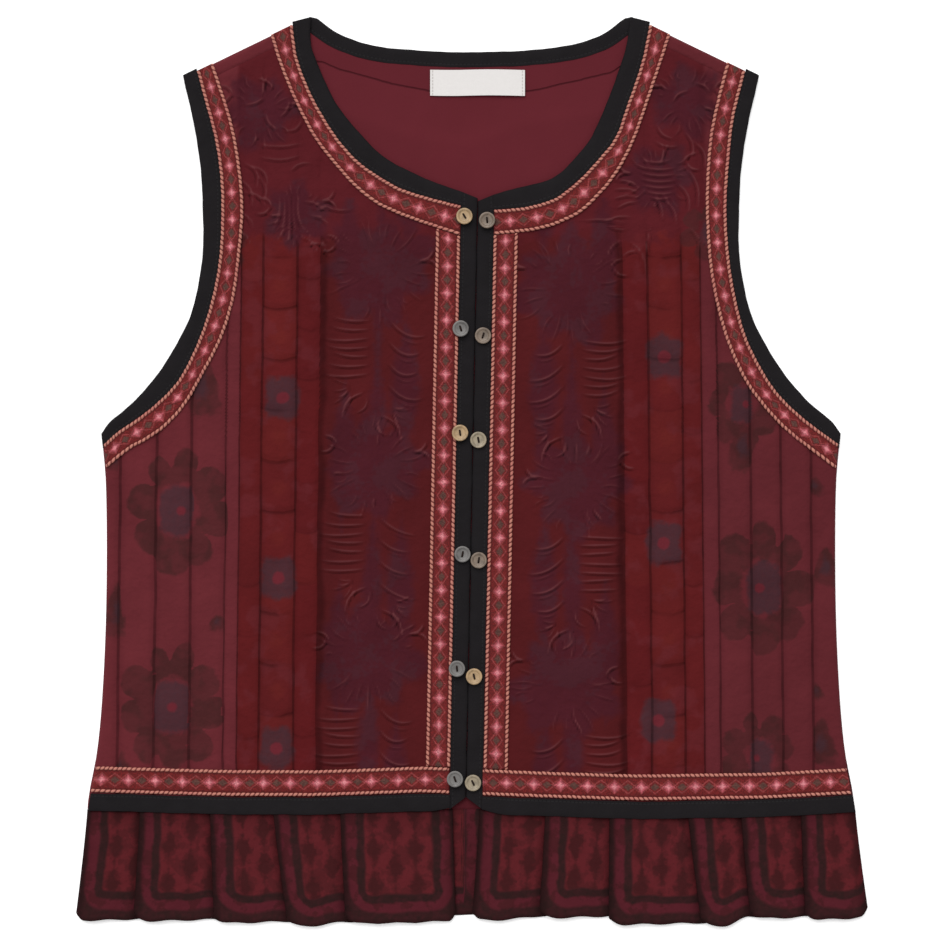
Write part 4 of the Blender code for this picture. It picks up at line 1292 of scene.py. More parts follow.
WORKED_BLOOMS = {
    Side.LEFT: (Bloom(0.0590, 0.1310, 0.0330, 7, 0.4), Bloom(0.0620, 0.0030, 0.0310, 8, 1.1),
                Bloom(0.0655, -0.1206, 0.0330, 7, 2.0), Bloom(0.1360, 0.2330, 0.0230, 6, 0.7),
                Bloom(0.1130, 0.1660, 0.0200, 6, 2.2)),
    Side.RIGHT: (Bloom(0.0630, 0.1180, 0.0340, 7, 1.6), Bloom(0.0695, -0.0088, 0.0320, 8, 0.2),
                 Bloom(0.0610, -0.1388, 0.0330, 7, 2.7), Bloom(0.1400, 0.2400, 0.0220, 6, 1.9),
                 Bloom(0.1210, 0.1900, 0.0215, 6, 0.3)),
}


SHOULDER_FOLDS = {
    Side.LEFT: ((110, 213, 137, 212, 1.6), (111, 205, 136, 204, 2.2), (104, 200, 117, 195, -2.0),
                (110, 228, 120, 221, 2.5), (125, 222, 133, 232, 2.0), (147, 200, 139, 184, 4.5),
                (142, 198, 132, 186, 3.5), (151, 190, 142, 172, 4.0), (137, 191, 134, 176, 2.5),
                (156, 205, 152, 188, -3.0), (147, 181, 133, 172, 3.0), (112, 178, 108, 155, -2.0),
                (115, 177, 113, 151, -1.0), (118, 178, 118, 149, 0.5), (121, 177, 123, 152, 1.0),
                (124, 178, 129, 156, 2.0), (108, 175, 95, 170, 1.6), (96, 173, 78, 170, -1.8),
                (104, 166, 92, 160, 1.5), (109, 152, 99, 141, 2.0), (97, 151, 90, 139, -2.0),
                (106, 147, 93, 146, 1.5), (134, 243, 147, 238, 1.5), (129, 250, 138, 255, -1.2),
                (118, 240, 124, 230, 1.5), (150, 168, 141, 158, 2.0), (152, 156, 143, 147, 2.0)),
    Side.RIGHT: ((112, 202, 129, 202, 1.4), (110, 198, 132, 197, 1.6), (110, 194, 133, 193, 1.6),
                 (110, 190, 133, 189, 1.6), (111, 186, 132, 185, 1.4), (113, 182, 131, 181, 1.4),
                 (116, 178, 129, 178, 1.2), (74, 163, 100, 161, -1.4), (88, 161, 100, 157, 1.4),
                 (139, 220, 143, 203, -3.0),
                 (139, 198, 147, 171, -4.0), (145, 214, 152, 197, -3.0), (134, 187, 141, 168, -3.5),
                 (151, 190, 157, 172, -3.0), (109, 184, 95, 189, 1.6), (109, 181, 93, 183, 1.4),
                 (108, 178, 93, 177, 1.4), (108, 175, 95, 171, 1.2), (104, 165, 87, 162, 1.8),
                 (117, 160, 114, 126, 2.0), (97, 150, 88, 138, 2.0), (104, 148, 111, 137, -2.0),
                 (108, 143, 98, 139, 1.5), (151, 151, 157, 130, -2.5), (142, 158, 149, 142, -2.5),
                 (131, 240, 141, 247, -2.0), (146, 252, 155, 246, -1.5), (121, 224, 131, 216, 2.0),
                 (120, 214, 134, 211, 1.5), (126, 176, 133, 160, -2.5), (120, 178, 124, 163, -1.5)),
}


@dataclass(frozen=True)
class StemWork:
    """The worked column beside the centre front: a stem, fronds in groups and blooms."""

    side: Side
    inner: float = 0.0220
    outer: float = 0.0280
    inner_step: float = 0.0138
    outer_step: float = 0.0058
    top: float = 0.178
    low: float = -0.196

    def stem_x(self, y: np.ndarray | float) -> np.ndarray | float:
        """Where the stem stands at a level."""
        left = self.side is Side.LEFT
        return (0.0622 - 0.026 * y) if left else (0.0655 - 0.004 * y)

    def creases(self) -> list[Crease]:
        """Every crease of the fronds, the fans and the blooms."""
        blooms = WORKED_BLOOMS[self.side]
        made = [crease for bloom in blooms for crease in bloom.creases()]
        phase = 0.6 if self.side is Side.LEFT else 2.2
        for number, bloom in enumerate(blooms[:3]):
            for way, reach, step in ((-1, self.inner, self.inner_step),
                                     (1, self.outer, self.outer_step)):
                count = 4 if way < 0 else 7
                for k in range(count):
                    y = bloom.y - bloom.radius * 0.98 - step * (k + 0.15)
                    made.extend(self.frond(y, way, reach, phase + number + 1.9 * k))
                y = bloom.y - bloom.radius * 0.98 - step * count - 0.004
                made.extend(self.fan(y, way, reach, phase + 2.3 * number + way))
        levels = np.linspace(self.low, self.top, 90)
        for beside in (-0.0019, 0.0019):
            stem = np.stack([self.stem_x(levels) + beside + 0.0011 * np.sin(levels * 90.0), levels],
                            1)
            made.append(Crease(stem, 0.0008, 0.0002))
        made += [Crease(swoop((x0 * MM, y0 * MM), (x1 * MM, y1 * MM), sag * MM), 0.0009, 0.0007)
                 for x0, y0, x1, y1, sag in SHOULDER_FOLDS[self.side]]
        return made

    def frond(self, y: float, way: int, reach: float, phase: float) -> list[Crease]:
        """One long crease out from the stem, sagging and hooked up at its end."""
        if y < self.low:
            return []
        jitter = math.sin(3.3 * phase + way)
        other = math.sin(5.7 * phase + 2 * way)
        start = self.stem_x(y) + way * (0.0062 + 0.0016 * jitter)
        length = reach * (0.90 + 0.12 * other)
        y += 0.0012 * jitter
        fall = 0.0095 + 0.0020 * other if way < 0 else 0.0014 * other
        sag = (0.0026 if way < 0 else 0.0007) + 0.0006 * jitter
        line = swoop((start, y), (start + way * length, y - fall), way * sag,
                     0.0010 + 0.0010 * jitter)
        made = [Crease(line, 0.00085, 0.0008)]
        if way < 0:
            low = line[3:9] + np.array((0.0, -0.0036 - 0.0008 * jitter))
            made.append(Crease(low, 0.0007, 0.0005))
        return made

    def fan(self, y: float, way: int, reach: float, phase: float) -> list[Crease]:
        """A leafy spray: short creases that fan out, over one long hooked leaf edge."""
        if y < self.low + 0.008 or y > self.top:
            return []
        made = []
        x = self.stem_x(y) + way * (0.45 * reach + 0.0030 * math.sin(phase))
        for j in range(5):
            angle = 0.62 - 0.38 * j + 0.16 * math.sin(phase + 2.0 * j)
            length = reach * (0.36 + 0.10 * math.sin(1.9 * j + phase))
            near, far = 0.0035, 0.0035 + length
            made.append(Crease(swoop(
                (x + way * near * math.cos(angle), y + near * math.sin(angle)),
                (x + way * far * math.cos(angle - 0.3), y + far * math.sin(angle - 0.3)),
                0.0008 * way), 0.0007, 0.0006))
        made.append(Crease(swoop((x - way * 0.006, y - 0.003), (x + way * 0.007, y - 0.019),
                                 -0.0040 * way), 0.0008, 0.0009))
        made.append(Crease(swoop((x - way * 0.009, y - 0.006), (x - way * 0.002, y - 0.016),
                                 0.0025 * way), 0.0007, 0.0007))
        return made

    def mark(self, points: np.ndarray, fields: dict[str, np.ndarray]) -> None:
        """Raise slate along the stem and over the blooms."""
        y = points[:, 1]
        stem = np.abs(points[:, 0] - self.stem_x(y))
        width = 0.0042 + 0.0026 * np.sin(y * 61.0)
        raise_to(fields, "slate", np.where(y < self.top, width - stem, NO_INK * MM))
        for way, reach in ((-1, self.inner), (1, self.outer)):
            middle = self.stem_x(y) + way * (0.0070 + 0.5 * reach)
            band = 0.0035 + 0.0060 * np.sin(y * 49.0 + way) - np.abs(points[:, 0] - middle)
            raise_to(fields, "slate", np.where(y < self.top, band, NO_INK * MM))
        for bloom in WORKED_BLOOMS[self.side]:
            bloom.mark(points, fields)


def print_fields(points: np.ndarray, side: Side, worked: bool) -> dict[str, np.ndarray]:
    """The values that the printed cotton reads.

    Args:
        points: Places in the half plane.
        side: Which half they are on.
        worked: Whether the cloth has the worked column.

    Returns:
        The values by name, one for each point.
    """
    fields = {name: np.full(len(points), NO_INK) for name in ("ink", "plum", "slate", "rose")}
    strip = strip_of(points, side)
    for motif in OUTER_PRINT[side]:
        own = strip_of(np.array([(motif.x, motif.y)]), side)[0]
        moved = points[:, :2].copy()
        moved[:, 0] += TUCK_DEPTH * (tucks(strip) - tucks(own))
        motif.mark(moved, fields)
    if worked:
        StemWork(side).mark(points, fields)
    fields["strip"] = strip if worked else np.maximum(strip, 5.2 + points[:, 0])
    return fields


# The fronts

@dataclass
class HalfEdges:
    """The edges of one half of the front, with x counted outward from the middle."""

    side: Side
    flank: Line = field(init=False)
    arm: Line = field(init=False)
    neck: Line = field(init=False)
    centre: Line = field(init=False)
    hem: Line = field(init=False)
    fold: Line = field(init=False)
    seam: Line = field(init=False)
    shoulder: Line = field(init=False)
    neck_trim: tuple[Line, Line] = field(init=False)
    arm_trim: tuple[Line, Line] = field(init=False)
    neck_inner: Line = field(init=False)
    arm_inner: Line = field(init=False)

    def __post_init__(self) -> None:
        """Work the edges out from their rows."""
        sign = self.side.value
        self.flank = smooth_line(SIDE_ROWS)
        self.arm = smooth_line(ARM_ROWS)
        self.neck = smooth_line(NECK_ROWS[self.side])
        top = np.array((sign * CENTRE_TOP[0] + LAYERS.gap, CENTRE_TOP[1] + 0.010))
        hem = np.array((sign * CENTRE_HEM[0] + LAYERS.gap, CENTRE_HEM[1] - 0.012))
        self.centre = even_steps(np.array([top, hem]), 0.040)
        self.hem = even_steps(np.array([(0.0, FRONT_HEM_Y), (0.24, FRONT_HEM_Y)]), 0.012)
        self.shoulder = even_steps(np.array([SHOULDER_TIP, SHOULDER_NECK]), 0.012)
        self.seam = offset(self.shoulder, WIDTHS.shoulder_fold)
        self.fold = self.shoulder - np.array((0.0, WIDTHS.shoulder_drop))
        self.neck_trim = self.braid_edges(NECK_CORDS[self.side])
        self.arm_trim = self.braid_edges(ARM_CORDS[self.side])
        self.neck_inner = offset(self.neck_trim[0], -WIDTHS.margin)
        self.arm_inner = offset(self.arm_trim[0], -WIDTHS.margin)

    def braid_edges(self, cords: tuple) -> tuple[Line, Line]:
        """The near and far edges of a braid, a little way out from its cords."""
        near, far = (smooth_line(knots, 0.004) for knots in cords)
        return offset(near, -CORD_INSET), offset(far, CORD_INSET)

    def rim(self) -> list[Line]:
        """The panel's five edges, each cut to its neighbours: side, arm, seam, neck, centre."""
        w, gap = WIDTHS, LAYERS.gap
        return cut_round([self.hem, self.flank, offset(self.arm_inner, gap),
                          offset(self.seam, gap), offset(self.neck_inner, gap),
                          offset(self.centre, w.centre_band + gap)])[1:]


@dataclass
class FrontCloth:
    """One printed and worked front panel."""

    edges: HalfEdges
    rows: int = 620
    hidden: int = 4
    worked: int = 70
    outer: int = 52
    outline: Line = field(init=False)

    def __post_init__(self) -> None:
        """Keep the outline that the loft is measured from."""
        rim = self.edges.rim()
        self.outline = np.vstack([*(line[:-1] for line in rim), rim[-1][-1]])

    def smooth_top(self, points: np.ndarray) -> np.ndarray:
        """The top of the cloth without its raised work."""
        reach = nearest(points, closed(self.outline))[0] - LAYERS.loft_start
        height = LAYERS.front_low + LAYERS.front_wall
        height = height + LAYERS.loft * ease(reach / LAYERS.loft_reach)
        gap = nearest(points, self.edges.flank)[0]
        drop = np.clip(1.0 - gap / LAYERS.side_roll, 0.0, 1.0)
        return height - (LAYERS.front_wall + 0.0008) * drop ** 2.4

    def relief(self, points: np.ndarray) -> np.ndarray:
        """How far the creases raise or sink the cloth."""
        total = np.zeros(len(points))
        for crease in StemWork(self.edges.side).creases():
            crease.relief(points, total)
        return total

    def swell(self, points: np.ndarray) -> np.ndarray:
        """The soft puffs between channels and the slack of the lying cloth."""
        place = seam_place(points)
        total = np.zeros(len(points))
        for k, channel in enumerate(SEAMS[self.edges.side]):
            away = np.abs(place - channel - 0.0008 * wander(points[:, 1], k + 1.0, 0.09))
            total -= 0.00055 * np.exp(-(away / 0.0030) ** 2)
            total -= 0.00030 * np.exp(-(away / 0.0012) ** 2)
        total += 0.00022 * ripple(points, 1.3 + self.edges.side.value, 0.045)
        total += 0.00012 * ripple(points, 4.1 + self.edges.side.value, 0.017)
        return total

    def build(self) -> Cloth:
        """Make the panel as a shell on its solid's form.

        Returns:
            The shell, closed below.
        """
        flank, arm, seam, neck, centre = self.edges.rim()
        outer = np.vstack([flank, arm[1:]])
        inner = np.vstack([neck, centre[1:]])[::-1]
        s = np.linspace(0.0, 1.0, self.rows)
        near_y = inner[0, 1] + s * (inner[-1, 1] - inner[0, 1])
        far_y = outer[0, 1] + s * (outer[-1, 1] - outer[0, 1])
        near = np.stack([np.interp(near_y, inner[:, 1], inner[:, 0]), near_y], 1)
        far = np.stack([np.interp(far_y, outer[:, 1], outer[:, 0]), far_y], 1)
        share = np.concatenate([np.linspace(0, 0.06, self.hidden, endpoint=False),
                                np.linspace(0.06, 0.42, self.worked, endpoint=False),
                                np.linspace(0.42, 0.985, self.outer, endpoint=False),
                                np.linspace(0.985, 1.0, 6)])
        flat = near[:, None] + share[None, :, None] * (far - near)[:, None]
        columns = len(share)
        flat = flat.reshape(-1, 2)
        relief = self.relief(flat)
        base = self.smooth_top(flat)
        rim = closed(self.outline)
        edge = ease(nearest(flat, rim)[0] / 0.012)
        height = base + relief + self.swell(flat) * edge
        seam_gap = nearest(flat, self.edges.seam)[0]
        height -= 0.0009 * np.exp(-(seam_gap / 0.0014) ** 2)
        top = np.column_stack([flat, height])
        values = print_fields(flat, self.edges.side, True)
        values["relief"] = relief / 0.0008

        index = np.arange(self.rows * columns).reshape(self.rows, columns)
        ring = ring_of(index)
        border = flat[ring]
        turn = np.cross(border, np.roll(border, -1, axis=0)).sum()
        if turn < 0:
            ring = ring[::-1]
            border = flat[ring]
        foot = offset(self.edges.flank, LAYERS.side_foot + 0.0006)
        inside = np.vstack([lattice(border, 0.016, 0.006), foot[within(foot, border)]])
        place, fill = filled(border, inside)
        gap = nearest(place, self.edges.flank)[0]
        under = np.where(gap < LAYERS.side_foot, 0.0002, LAYERS.front_low + 0.0001)
        loft = nearest(place, rim)[0] - LAYERS.loft_start
        under = under + LAYERS.loft * ease(loft / LAYERS.loft_reach)
        low = np.column_stack([place, under])
        first = len(top)
        faces = grid_faces(self.rows, columns)
        count = len(ring)
        for i in range(count):
            j = (i + 1) % count
            faces.append((first + i, first + j, int(ring[j]), int(ring[i])))
        faces.extend(tuple(first + k for k in reversed(face)) for face in fill)
        lower = print_fields(place, self.edges.side, True)
        lower["relief"] = np.zeros(len(place))
        values = {key: np.concatenate([value, lower[key]]) for key, value in values.items()}
        return Cloth(np.vstack([top, low]), faces, values)


# Tapes and braids

@dataclass
class Run:
    """The two edges of a tape or braid, station by station."""

    near: Line
    far: Line

    @classmethod
    def along(cls, edge: Line, width: float, ways: dict[int, np.ndarray] | None = None) -> "Run":
        """A tape that reaches to an edge's left, with some stations turned to a neighbour."""
        far = offset(edge, width)
        for i, way in (ways or {}).items():
            far[i] = edge[i] + way
        return cls(edge.copy(), far)

    @classmethod
    def facing(cls, near: Line, far: Line) -> "Run":
        """A tape from one edge over to another, at the nearest place of each station."""
        close = even_steps(far, 0.0005)
        there = np.array([close[np.argmin(np.linalg.norm(close - p, axis=1))] for p in near])
        there[0], there[-1] = far[0], far[-1]
        return cls(near.copy(), there)

    def fine(self, step: float) -> tuple[Line, Line, np.ndarray]:
        """Both edges with close stations, and the distance along at each."""
        at = walked((self.near + self.far) / 2)
        at = np.maximum.accumulate(at + np.arange(len(at)) * 1e-9)
        count = max(2, round(at[-1] / step))
        wanted = np.linspace(0.0, at[-1], count + 1)
        near = curve_through(self.near, at, wanted)
        far = curve_through(self.far, at, wanted)
        return near, far, wanted


TAPE_SECTION = ((-0.02, 0.30), (0.0, 0.10), (0.08, 0.0), (0.50, 0.0), (0.94, 0.0), (1.0, 0.10),
                (1.0, 0.70), (1.06, 0.78), (1.06, 0.90), (1.0, 0.97), (0.90, 0.96), (0.82, 0.95),
                (0.60, 1.0), (0.38, 1.0), (0.18, 0.96), (0.06, 0.84), (-0.01, 0.62))
FLAT_SECTION = tuple((min(s, 1.0), up) for s, up in TAPE_SECTION)


@dataclass
class Tape:
    """A black binding along an edge."""

    name: str
    replaces: str
    run: Run
    low: float
    thick: float
    lip: bool = True
    step: float = 0.0022

    def build(self) -> Cloth:
        """Sweep the folded tape, a little puckered by its sewing."""
        section = np.array(TAPE_SECTION if self.lip else FLAT_SECTION)
        near, far, at = self.run.fine(self.step)
        seed = 1.0 + (sum(map(ord, self.name)) % 17)
        ends = ease(at / 0.006) * ease((at[-1] - at) / 0.006)
        pucker = 1.0 - (0.05 + 0.05 * wander(at, seed, 0.031)) * ends
        waver = 0.00022 * wander(at, seed + 3.0, 0.047) * ends
        across = far - near
        width = np.linalg.norm(across, axis=1)
        near = near + across / width[:, None] * waver[:, None]
        rows = np.empty((len(at), len(section), 3))
        rows[:, :, :2] = near[:, None] + section[None, :, :1] * across[:, None]
        dimple = 0.06 * np.exp(-((section[:, 0] - 0.86) / 0.06) ** 2)
        top = section[:, 1] > 0.5
        up = section[None, :, 1] * np.where(top[None], pucker[:, None] - dimple[None], 1.0)
        rows[:, :, 2] = self.low + up * self.thick
        values = {"along": np.repeat(at, len(section)),
                  "across": np.tile(section[:, 0], len(at))}
        return tube(rows, values)


@dataclass
class Braid:
    """A woven braid with a twisted cord along each edge."""

    name: str
    replaces: str
    run: Run
    cloth: FrontCloth
    start: float = 0.0
    step: float = 0.0016
    wall: float = 0.0008
    cord_step: float = 0.00060
    cord_radius: float = 0.00108
    cord_sides: int = 8
    twist: float = 0.0031

    def build(self) -> Cloth:
        """Make the band and its two cords as one mesh."""
        return self.band().joined(self.cord(0.065, 0.4)).joined(self.cord(0.935, 2.0))

    def band(self) -> Cloth:
        """The woven band, slightly domed."""
        near, far, at = self.run.fine(self.step)
        shares = np.array((0.03, 0.16, 0.34, 0.5, 0.66, 0.84, 0.97))
        ring = np.concatenate([shares, shares[::-1]])
        flat = near[:, None] + ring[None, :, None] * (far - near)[:, None]
        shape = flat.shape
        base = self.cloth.smooth_top(flat.reshape(-1, 2)).reshape(shape[:2]) + LAYERS.braid_lift
        up = np.concatenate([np.zeros(7), self.wall * (0.85 + 0.3 * np.sin(
            math.pi * shares[::-1]))])
        pucker = 0.00010 * wander(at, self.start + 2.0, 0.019)
        rows = np.dstack([flat, base + up[None] + (up > 0)[None] * pucker[:, None]])
        values = {"along": np.repeat(at + self.start, len(ring)),
                  "across": np.tile((ring - 0.5) / 0.34, len(at)),
                  "crest": np.zeros(rows.shape[0] * rows.shape[1])}
        return tube(rows, values)

    def cord(self, share: float, turn: float) -> Cloth:
        """One twisted cord at a share of the way across."""
        near, far, at = self.run.fine(self.cord_step)
        line = near + share * (far - near)
        line = line + left_normals(line) * (0.00012 * wander(at, turn + 5.0, 0.013))[:, None]
        base = self.cloth.smooth_top(line) + LAYERS.braid_lift + 0.00050
        angle = 2 * math.pi * np.arange(self.cord_sides) / self.cord_sides
        phase = 2 * math.pi * at / self.twist + turn
        lobes = np.abs(np.cos((angle[None] - phase[:, None]) / 2)) ** 1.3
        radius = self.cord_radius * (0.78 + 0.28 * lobes)
        radius[[0, -1]] *= 0.55
        normal = left_normals(line)
        rows = np.empty((len(at), self.cord_sides, 3))
        rows[:, :, :2] = line[:, None] + (radius * np.cos(angle))[..., None] * normal[:, None]
        rows[:, :, 2] = base[:, None] + radius * np.sin(angle)
        made = tube(rows, {"along": np.repeat(at, self.cord_sides),
                           "across": np.zeros(rows.shape[0] * rows.shape[1]),
                           "crest": lobes.reshape(-1)})
        made.slots = [1] * len(made.faces)
        return made


HEM_SAG = {
    Side.LEFT: ((0.0, 0.0), (0.012, 0.0006), (0.030, 0.0014), (0.100, -0.0010), (0.160, -0.0008),
                (0.245, 0.0016)),
    Side.RIGHT: ((0.0, 0.0), (0.050, -0.0020), (0.107, -0.0038), (0.190, -0.0026),
                 (0.250, 0.0006)),
}
HEM_TAPE_END = {Side.LEFT: -0.0010, Side.RIGHT: 0.0}


def sagged(line: Line, side: Side) -> Line:
    """A hem line with the slack that it lies in."""
    knots = np.array(HEM_SAG[side])
    return line + np.column_stack([np.zeros(len(line)),
                                   np.interp(line[:, 0], knots[:, 0], knots[:, 1])])


@dataclass
class FrontTrims:
    """The tapes and braids of one front, where its solids lie."""

    edges: HalfEdges
    cloth: FrontCloth

    def tapes(self) -> list[Tape]:
        """The black tapes that bind the front's edges."""
        e, w, side = self.edges, WIDTHS, self.edges.side.label
        low, thick = LAYERS.band_low, LAYERS.band_top - LAYERS.band_low
        arm = Run.facing(e.arm, between(e.arm_inner, e.flank, e.shoulder))
        arm.far[0] = e.arm[0] + ARM_TAPE_END
        centre_inner = offset(e.centre, w.centre_band + LAYERS.gap)
        neck = meet(extended(e.neck), extended(centre_inner))[0]
        neck = even_steps(neck[1:], EDGE_STEP)
        neck_run = Run.facing(neck, between(e.neck_inner, e.shoulder, centre_inner))
        top_inner = meet(extended(e.neck), extended(offset(e.centre, w.centre_band)))[0][-1]
        top_outer = np.array((e.centre[0, 0], min(top_inner[1] - 0.004, 0.1780)))
        hem_outer = np.array((e.centre[-1, 0], HEM_BAND_LOW_Y + 0.0100))
        hem_inner = np.array((hem_outer[0] + w.centre_band, HEM_BAND_LOW_Y + HEM_CORNER))
        line = even_steps(np.array([top_outer, hem_outer]), 0.040)
        centre = Run.along(line, w.centre_band, {0: top_inner - top_outer,
                                                 -1: hem_inner - hem_outer})
        start_x = hem_inner[0] + LAYERS.gap
        end_x = e.flank[1, 0] + HEM_TAPE_END[e.side]
        hem_edge = np.vstack([[(start_x, HEM_BAND_LOW_Y + HEM_CORNER)],
                              even_steps(np.array([(start_x + 0.012, HEM_BAND_LOW_Y),
                                                   (end_x, HEM_BAND_LOW_Y)]), 0.018)])
        hem = Run.along(hem_edge, w.hem_band, {0: np.array((0.0, w.hem_band - HEM_CORNER)),
                                               1: np.array((0.0, w.hem_band)),
                                               -1: np.array((-0.0018, w.hem_band))})
        hem = Run(sagged(hem.near, e.side), sagged(hem.far, e.side))
        hem_low = LAYERS.front_low + LAYERS.front_wall + LAYERS.gap
        return [Tape("arm_tape_" + side, "arm_band_" + side, arm, low, thick),
                Tape("neck_tape_" + side, "neck_band_" + side, neck_run, low, thick),
                Tape("centre_tape_" + side, "centre_band_" + side, centre, low, thick),
                Tape("hem_tape_" + side, "hem_band_" + side, hem, hem_low, LAYERS.hem_band,
                     lip=False)]

    def flank_stations(self, near_line: Line, far_line: Line) -> list[tuple]:
        """Where a braid that runs out to the side crosses the roll of the cloth there."""
        result = []
        for share in (0.3, 0.6, 1.0):
            flank = offset(self.edges.flank, LAYERS.side_roll * share)
            near = meet(extended(near_line), extended(flank))[0][-1]
            far = meet(extended(far_line), extended(flank))[0][-1]
            result.append((near, far))
        return result

    def braids(self) -> list[Braid]:
        """The four woven braids beside the tapes."""
        e, w, side = self.edges, WIDTHS, self.edges.side.label
        centre_edge = offset(e.centre, w.centre_band + w.margin)
        neck = Run.facing(*(even_steps(between(line, e.fold, centre_edge), BRAID_STEP)
                            for line in e.neck_trim))
        near_line, far_line = e.arm_trim
        roll = self.flank_stations(near_line[::-1], far_line[::-1])
        near_run, far_run = (between(line, offset(e.flank, LAYERS.side_roll), e.fold)
                             for line in (near_line, far_line))
        arm = Run.facing(even_steps(near_run, BRAID_STEP), far_run)
        arm = Run(*(np.vstack([[pair[k] for pair in roll[:-1]], line])
                    for k, line in enumerate((arm.near, arm.far))))

        hem_top = FRONT_HEM_Y + w.hem_braid + w.hem_band - 0.0015
        stop = np.array([(0.0, hem_top + LAYERS.gap), (0.3, hem_top + LAYERS.gap)])
        stop = sagged(even_steps(stop, 0.006), e.side)
        under = offset(e.neck_trim[1], LAYERS.gap)
        near = between(centre_edge, under, stop)
        far = between(offset(e.centre, w.centre_band + w.margin + w.centre_braid), under, stop)
        centre = Run.along(even_steps(near, 0.018), w.centre_braid,
                           {0: far[0] - near[0], -1: far[-1] - near[-1]})
        hem_y = hem_top - w.hem_braid
        start_x = centre_edge[-1, 0]
        hem_line = np.array([(start_x, hem_y), (0.24, hem_y)])
        far_line = hem_line + np.array((0.0, w.hem_braid))
        roll = self.flank_stations(hem_line, far_line)[::-1]
        hem_edge = np.vstack([even_steps(np.array([hem_line[0], roll[0][0]]), 0.018),
                              [near for near, far in roll[1:]]])
        hem = Run.along(hem_edge, w.hem_braid)
        for i, (near, far) in enumerate(roll):
            hem.far[len(hem_edge) - len(roll) + i] = far
        hem = Run(sagged(hem.near, e.side), sagged(hem.far, e.side))
        runs = (("neck", neck, 0.004), ("arm", arm, 0.009), ("centre", centre, 0.013),
                ("hem", hem, 0.002))
        return [Braid(part + "_trim_" + side, part + "_braid_" + side, run, self.cloth, start)
                for part, run, start in runs]


def dress(made: bpy.types.Object, slot: str, *nodes: str) -> bpy.types.Object:
    """Ride a piece on the vest and hide the nodes that it stands for."""
    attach(made, BODY)
    if nodes:
        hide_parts(*nodes)
    LOG.info("%s: %d faces", made.name, len(made.data.polygons))
    return made


def polygon_area(outline: Line) -> float:
    """The area within an outline."""
    x, y = outline[:, 0], outline[:, 1]
    return abs(float((x * np.roll(y, -1) - np.roll(x, -1) * y).sum()) / 2)


@dataclass
class Front:
    """One front: its cloth, its folded shoulder, its tapes and its braids."""

    side: Side
    finishes: Finishes

    def build(self, back: bpy.types.Object) -> list[bpy.types.Object]:
        """Make and dress the front's pieces.

        Args:
            back: The back, which the front lies on; not used.

        Returns:
            The pieces.
        """
        edges = HalfEdges(self.side)
        cloth = FrontCloth(edges)
        f, label = self.finishes, self.side.label
        panel = cloth.build().mirrored(self.side).piece("front_cloth_" + label, [f.cotton])
        dress(panel, "wine_cotton", "front_" + label)
        trims = FrontTrims(edges, cloth)
        pieces = []
        for tape in trims.tapes():
            made = tape.build().mirrored(self.side).piece(tape.name, [f.binding], 50.0)
            pieces.append(dress(made, "black_binding", tape.replaces))
        for braid in trims.braids():
            made = braid.build().mirrored(self.side).piece(braid.name, [f.braid, f.cord])
            pieces.append(dress(made, "woven_braid", braid.replaces))
        wide, high = np.ptp(cloth.outline, axis=0)
        polygon_area(cloth.outline)
        return [panel, *pieces, self.shoulder(edges)]

    def shoulder(self, edges: HalfEdges) -> bpy.types.Object:
        """The strip of the back that folds over the shoulder to the front's seam."""
        arm = offset(edges.arm_inner, LAYERS.gap)
        neck = offset(edges.neck_inner, LAYERS.gap)
        outer = even_steps(between(edges.fold, arm, neck), 0.010)
        inner = between(edges.seam, arm, neck)
        run = Run.along(outer, WIDTHS.shoulder_fold, {0: inner[0] - outer[0],
                                                      -1: inner[-1] - outer[-1]})
        near, far, at = run.fine(0.0022)
        shares = np.array((0.0, 0.03, 0.08, 0.15, 0.24, 0.35, 0.5, 0.65, 0.8, 0.9, 0.96, 1.0))
        top = LAYERS.front_low + LAYERS.front_wall
        lift = top * (1.0 - 0.55 * np.clip(1.0 - shares / 0.34, 0, 1) ** 2.2)
        lift -= 0.0010 * np.exp(-((shares - 1.0) / 0.12) ** 2)
        ring = np.concatenate([(0.06, 0.5, 1.0), shares[::-1], (0.0,)])
        up = np.concatenate([(0.0, 0.0, 0.0), lift[::-1], (0.0010,)])
        flat = near[:, None] + ring[None, :, None] * (far - near)[:, None]
        slack = 0.00015 * wander(at, 2.0 + self.side.value, 0.030)[:, None] * (up > 0.001)
        rows = np.dstack([flat, np.broadcast_to(up, flat.shape[:2]) + slack])
        values = print_fields(rows.reshape(-1, 3), self.side, False)
        values["relief"] = np.zeros(rows.shape[0] * rows.shape[1])
        label = self.side.label
        made = tube(rows, values).mirrored(self.side).piece("shoulder_cloth_" + label,
                                                            [self.finishes.cotton])
        dress(made, "wine_cotton", "back_shoulder_" + label)
        return made


# The back

